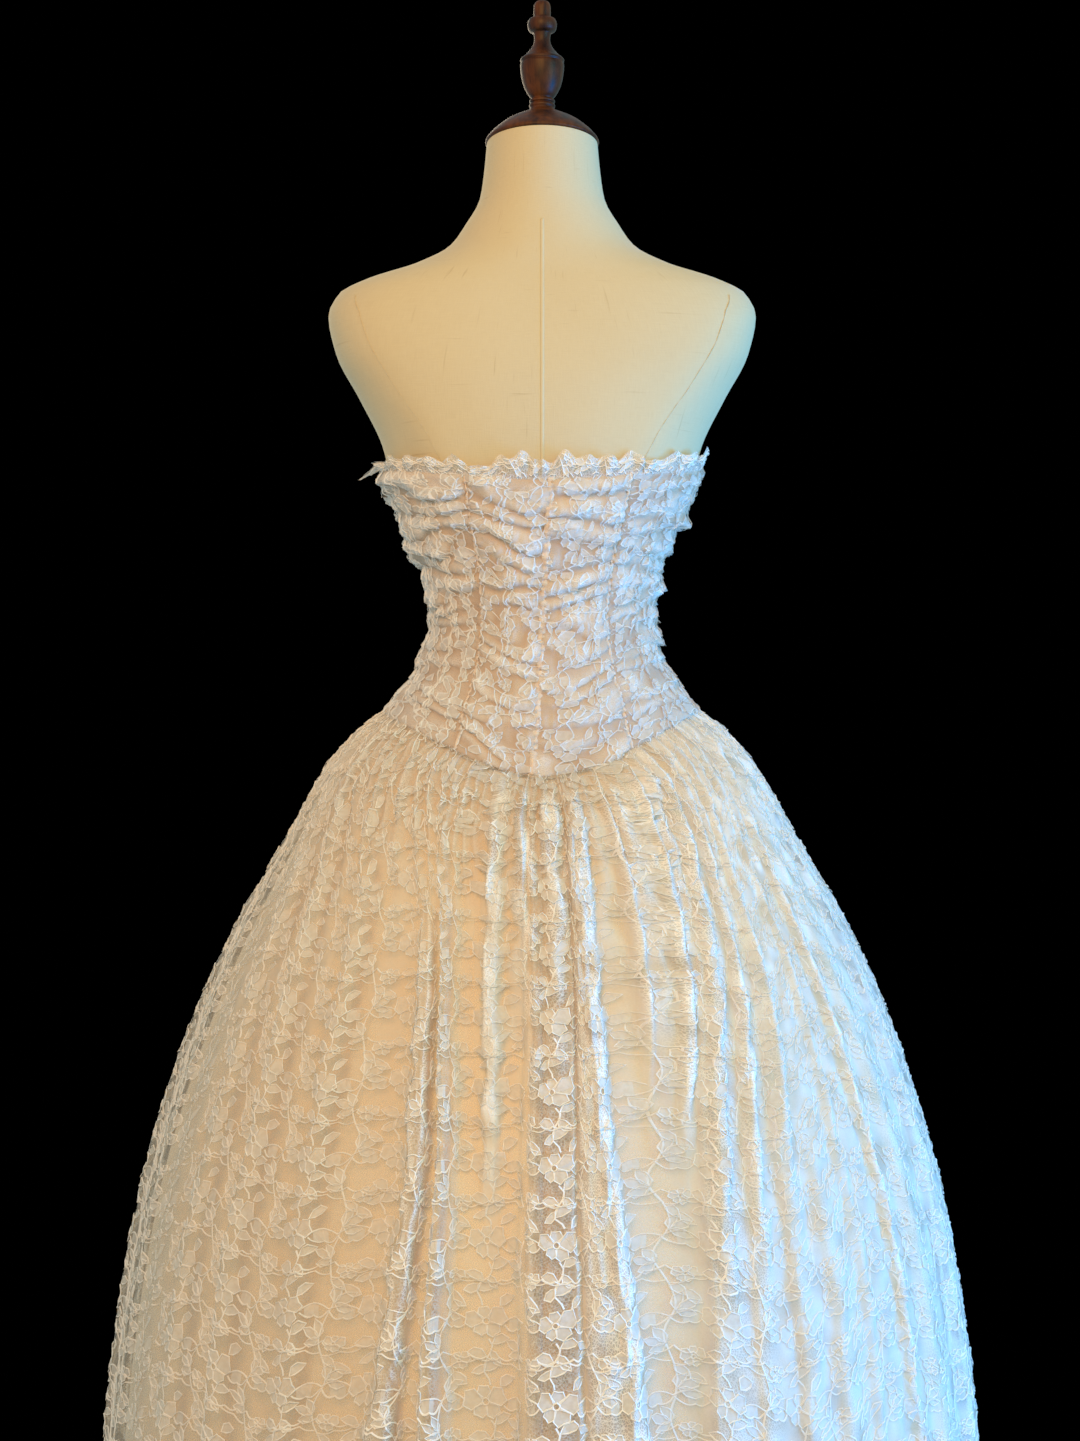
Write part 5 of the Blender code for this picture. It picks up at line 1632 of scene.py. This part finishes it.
for seed, panel in enumerate(BODICE_PANELS):
    degrees = panel.end - panel.start
    for layer, columns_each, rows in (("satin", 0.6, 76), ("net", 1.1, 150)):
        share = np.linspace(0.0, 1.0, int(degrees * columns_each) + 1)[None, :]
        down = np.linspace(0.0, 1.0, rows)[:, None]
        angle, z, satin_out, lace_out, puff = ruching(panel, share, down, seed + 60)
        points = bodice_points(angle, z, satin_out if layer == "satin" else lace_out)
        length = cloth_run(points, axis=0).mean(axis=1, keepdims=True)
        across = cloth_run(points, axis=1)[rows // 3 : rows // 2].mean(axis=0, keepdims=True)
        drawn_up = LACE_FULLNESS * PANEL_FALL * 0.001 / length[-1, 0]
        fullness = 1.0 if layer == "satin" else drawn_up
        uv = np.stack(np.broadcast_arrays((length[-1:] - length) * fullness, across), axis=-1)
        if layer == "net":
            shift = crumple(seed + 700, across * 1000.0, length * 1000.0, 22.0)
            slide = crumple(seed + 800, across * 1000.0, length * 1000.0, 22.0)
            uv = uv + 0.0021 * np.stack((shift, slide), axis=-1)
        uv = uv + CUT_APART * seed
        mesh = sheet_mesh(points, uv)
        if layer == "satin":
            # Low where the satin lies down in a tuck, for its painted shade.
            mark(mesh, "puff", puff * 0.9)
            cloth = shown(mesh, panel.name + "_satin", RUCHED_SATIN)
            thicken(cloth, 0.0008)
            flowers = []
        else:
            # Painted light on the net: paler on the tops of the puffs, a painted highlight, and thinner
            # down in the tucks, where the painted shade on the satin shows through.
            drawn_thin = 0.30 * (1.0 - smoothstep(puff / 0.55)) * (1.0 - 0.6 * down)
            patchy = 0.55 + 0.45 * crumple(seed + 950, across * 1000.0, length * 1000.0, 24.0)
            paler = smoothstep((puff - 0.25) / 0.5) * (0.50 - 0.10 * down) * (0.5 + 0.8 * patchy)
            mark(mesh, "ridge", paler - drawn_thin)  # below nought in the tucks
            mark(mesh, "stand", np.clip(0.25 + 0.6 * puff * patchy, 0.0, 1.0))
            cloth = shown(mesh, panel.name + "_net", BODICE_NET)
            work = lace_work(
                panel.name + "_flowers",
                cloth,
                uv,
                size=0.92,
                lift=0.0004,
                cord=BODICE_CORD,
                worked=BODICE_WORKED,
            )
            bands = [
                seam_band(panel.name + "_seam_band", panel, seam, seed)
                for seam in BODICE_SEAMS
                if seam.panel == seed
            ]
            flowers = [work, *bands]
        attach(cloth, "root")
        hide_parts(panel.name)

# ---- The neckline frill -------------------------------------------------------------------------
# The lace's own heading, left standing above the bodice's top edge. It is gathered with the
# bodice, so that it stands in small uneven loops, and one corner falls away at the left.

FRILL_HEIGHT = 0.0125
FRILL_DROP = 0.004
FRILL_WAVES = 36


def frill_surface(angle, rise):
    """Points of the frill; rise is 0 at the stitching and 1 at the free edge."""
    edge = neck_edge_z(angle)
    uneven = 1.0 + 0.42 * wander(71, angle, (5, 9, 14, 23, 37))
    right = np.exp(-(((angle - 62.0) / 35.0) ** 2)) + np.exp(-(((angle - 14.0) / 9.0) ** 2))
    low_side = 1.0 - 0.7 * np.exp(-(((np.abs(from_front(angle)) - 90.0) / 32.0) ** 2))
    tall = (FRILL_HEIGHT * uneven + 0.004 * right) * low_side
    tall = tall + 0.012 * np.exp(-(((angle - 88.0) / 10.0) ** 2))
    z = edge - FRILL_DROP + (tall + FRILL_DROP) * rise
    wave = np.sin(np.radians(angle * FRILL_WAVES) + wander(72, angle, (5, 9, 14, 23), 3.0))
    loose = np.exp(-(((angle - 34.0) / 26.0) ** 2)) + np.exp(-(((angle - 292.0) / 24.0) ** 2))
    size = (0.0036 + 0.0020 * wander(73, angle, (6, 11, 17))) * (0.55 + 0.45 * loose)
    left_wing = 0.021 * np.exp(-(((angle - 264.0) / 9.0) ** 2)) * rise**2
    spread = 0.0040 - 0.0034 * np.exp(-(((angle - 90.0) / 35.0) ** 2))
    out = 0.0010 + spread * rise**0.7 + size * wave * rise**0.8 + left_wing
    out = out + 0.0012 * crumple(74, angle * 1.9, rise * 16.0, 9.0) * rise
    z = z - 0.9 * left_wing
    return at(angle, figure_radius(angle, z) + EASE + BODICE_WALL + np.maximum(out, 0.0008), z)


angle = np.linspace(0.0, 360.0, FRILL_WAVES * 16 + 1)[None, :]
rise = np.linspace(1.0, 0.0, 10)[:, None]
points = frill_surface(angle, rise)
across = cloth_run(points, axis=1)[4:5]
length = cloth_run(points, axis=0).mean(axis=1, keepdims=True)
uv = np.stack(np.broadcast_arrays(across, length[-1:] - length + 0.009), axis=-1)
mesh = sheet_mesh(points, uv)
mark(mesh, "ridge", np.full(points.shape[:2], 0.25))
mark(mesh, "stand", np.ones(points.shape[:2]))
cloth = shown(mesh, "neckline_frill_net", BODICE_NET)
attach(cloth, "root")
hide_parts("neckline_frill")
flowers = lace_work(
    "neckline_frill_flowers",
    cloth,
    uv,
    size=0.6,
    lift=0.0003,
    cord=BODICE_CORD,
    worked=BODICE_WORKED,
)

# ---- Floor, lights and camera -------------------------------------------------------------------
# A round pale floor just under the gown. A warm soft light from above its back, two cool ones
# from its right and a fill from the front, and a camera level with the hips behind the gown.

FLOOR_RADIUS = 0.90
floor_mesh = bpy.data.meshes.new("floor")
shape = bmesh.new()
bmesh.ops.create_circle(shape, cap_ends=True, segments=128, radius=FLOOR_RADIUS)
shape.to_mesh(floor_mesh)
shape.free()
floor_material, _ = new_material("pale_floor", (0.62, 0.60, 0.57), roughness=0.7)
floor = shown(floor_mesh, "floor", floor_material)


def soft_light(name, place, target, size, power, colour):
    """A round diffuse light that faces its target."""
    light = bpy.data.lights.new(name, "AREA")
    light.shape = "DISK"
    light.size = size
    light.energy = power
    light.color = colour
    made = bpy.data.objects.new(name, light)
    bpy.context.scene.collection.objects.link(made)
    made.location = place
    made.rotation_euler = (Vector(target) - Vector(place)).to_track_quat("-Z", "Y").to_euler()
    return made


soft_light("warm_key", (0.4, 2.5, 2.2), (0, 0, 1.0), size=1.4, power=48.0, colour=(1.0, 0.51, 0.13))
soft_light("cool_side", (-2.1, 0.7, 0.4), (0, 0, 0.5), size=1.2, power=64.0, colour=(0.0, 0.31, 1.0))
soft_light("upper_side", (-1.7, 1.3, 1.5), (0, 0, 1.0), size=1.2, power=12.5, colour=(0.42, 0.95, 0.85))
soft_light("front_fill", (0.8, -2.6, 1.9), (0, 0, 0.9), size=2.0, power=32.0, colour=(1.0, 0.80, 0.55))

world = bpy.data.worlds.new("studio")
bpy.context.scene.world = world
world.use_nodes = True
tree = world.node_tree
sky = tree.nodes["Background"]
sky.inputs["Color"].default_value = (0.67, 0.93, 1.0, 1.0)
sky.inputs["Strength"].default_value = 0.49
dark = node(tree, "ShaderNodeBackground", Color=(0.0, 0.0, 0.0, 1.0), Strength=0.0)
seen = node(tree, "ShaderNodeLightPath")
either = node(tree, "ShaderNodeMixShader")
tree.links.new(seen.outputs["Is Camera Ray"], either.inputs[0])
tree.links.new(sky.outputs[0], either.inputs[1])
tree.links.new(dark.outputs[0], either.inputs[2])
tree.links.new(either.outputs[0], tree.nodes["World Output"].inputs["Surface"])

CAMERA_BACK = 2.10
CAMERA_Z = 0.971
camera_data = bpy.data.cameras.new("camera")
camera_data.lens = 56.4
camera_data.sensor_width = 36.0
camera = bpy.data.objects.new("camera", camera_data)
camera.location = (0.002, CAMERA_BACK, CAMERA_Z)
camera.rotation_euler = (math.radians(90.0), 0.0, math.radians(180.0))
bpy.context.scene.collection.objects.link(camera)
bpy.context.scene.camera = camera
bpy.context.scene.view_settings.view_transform = "Standard"
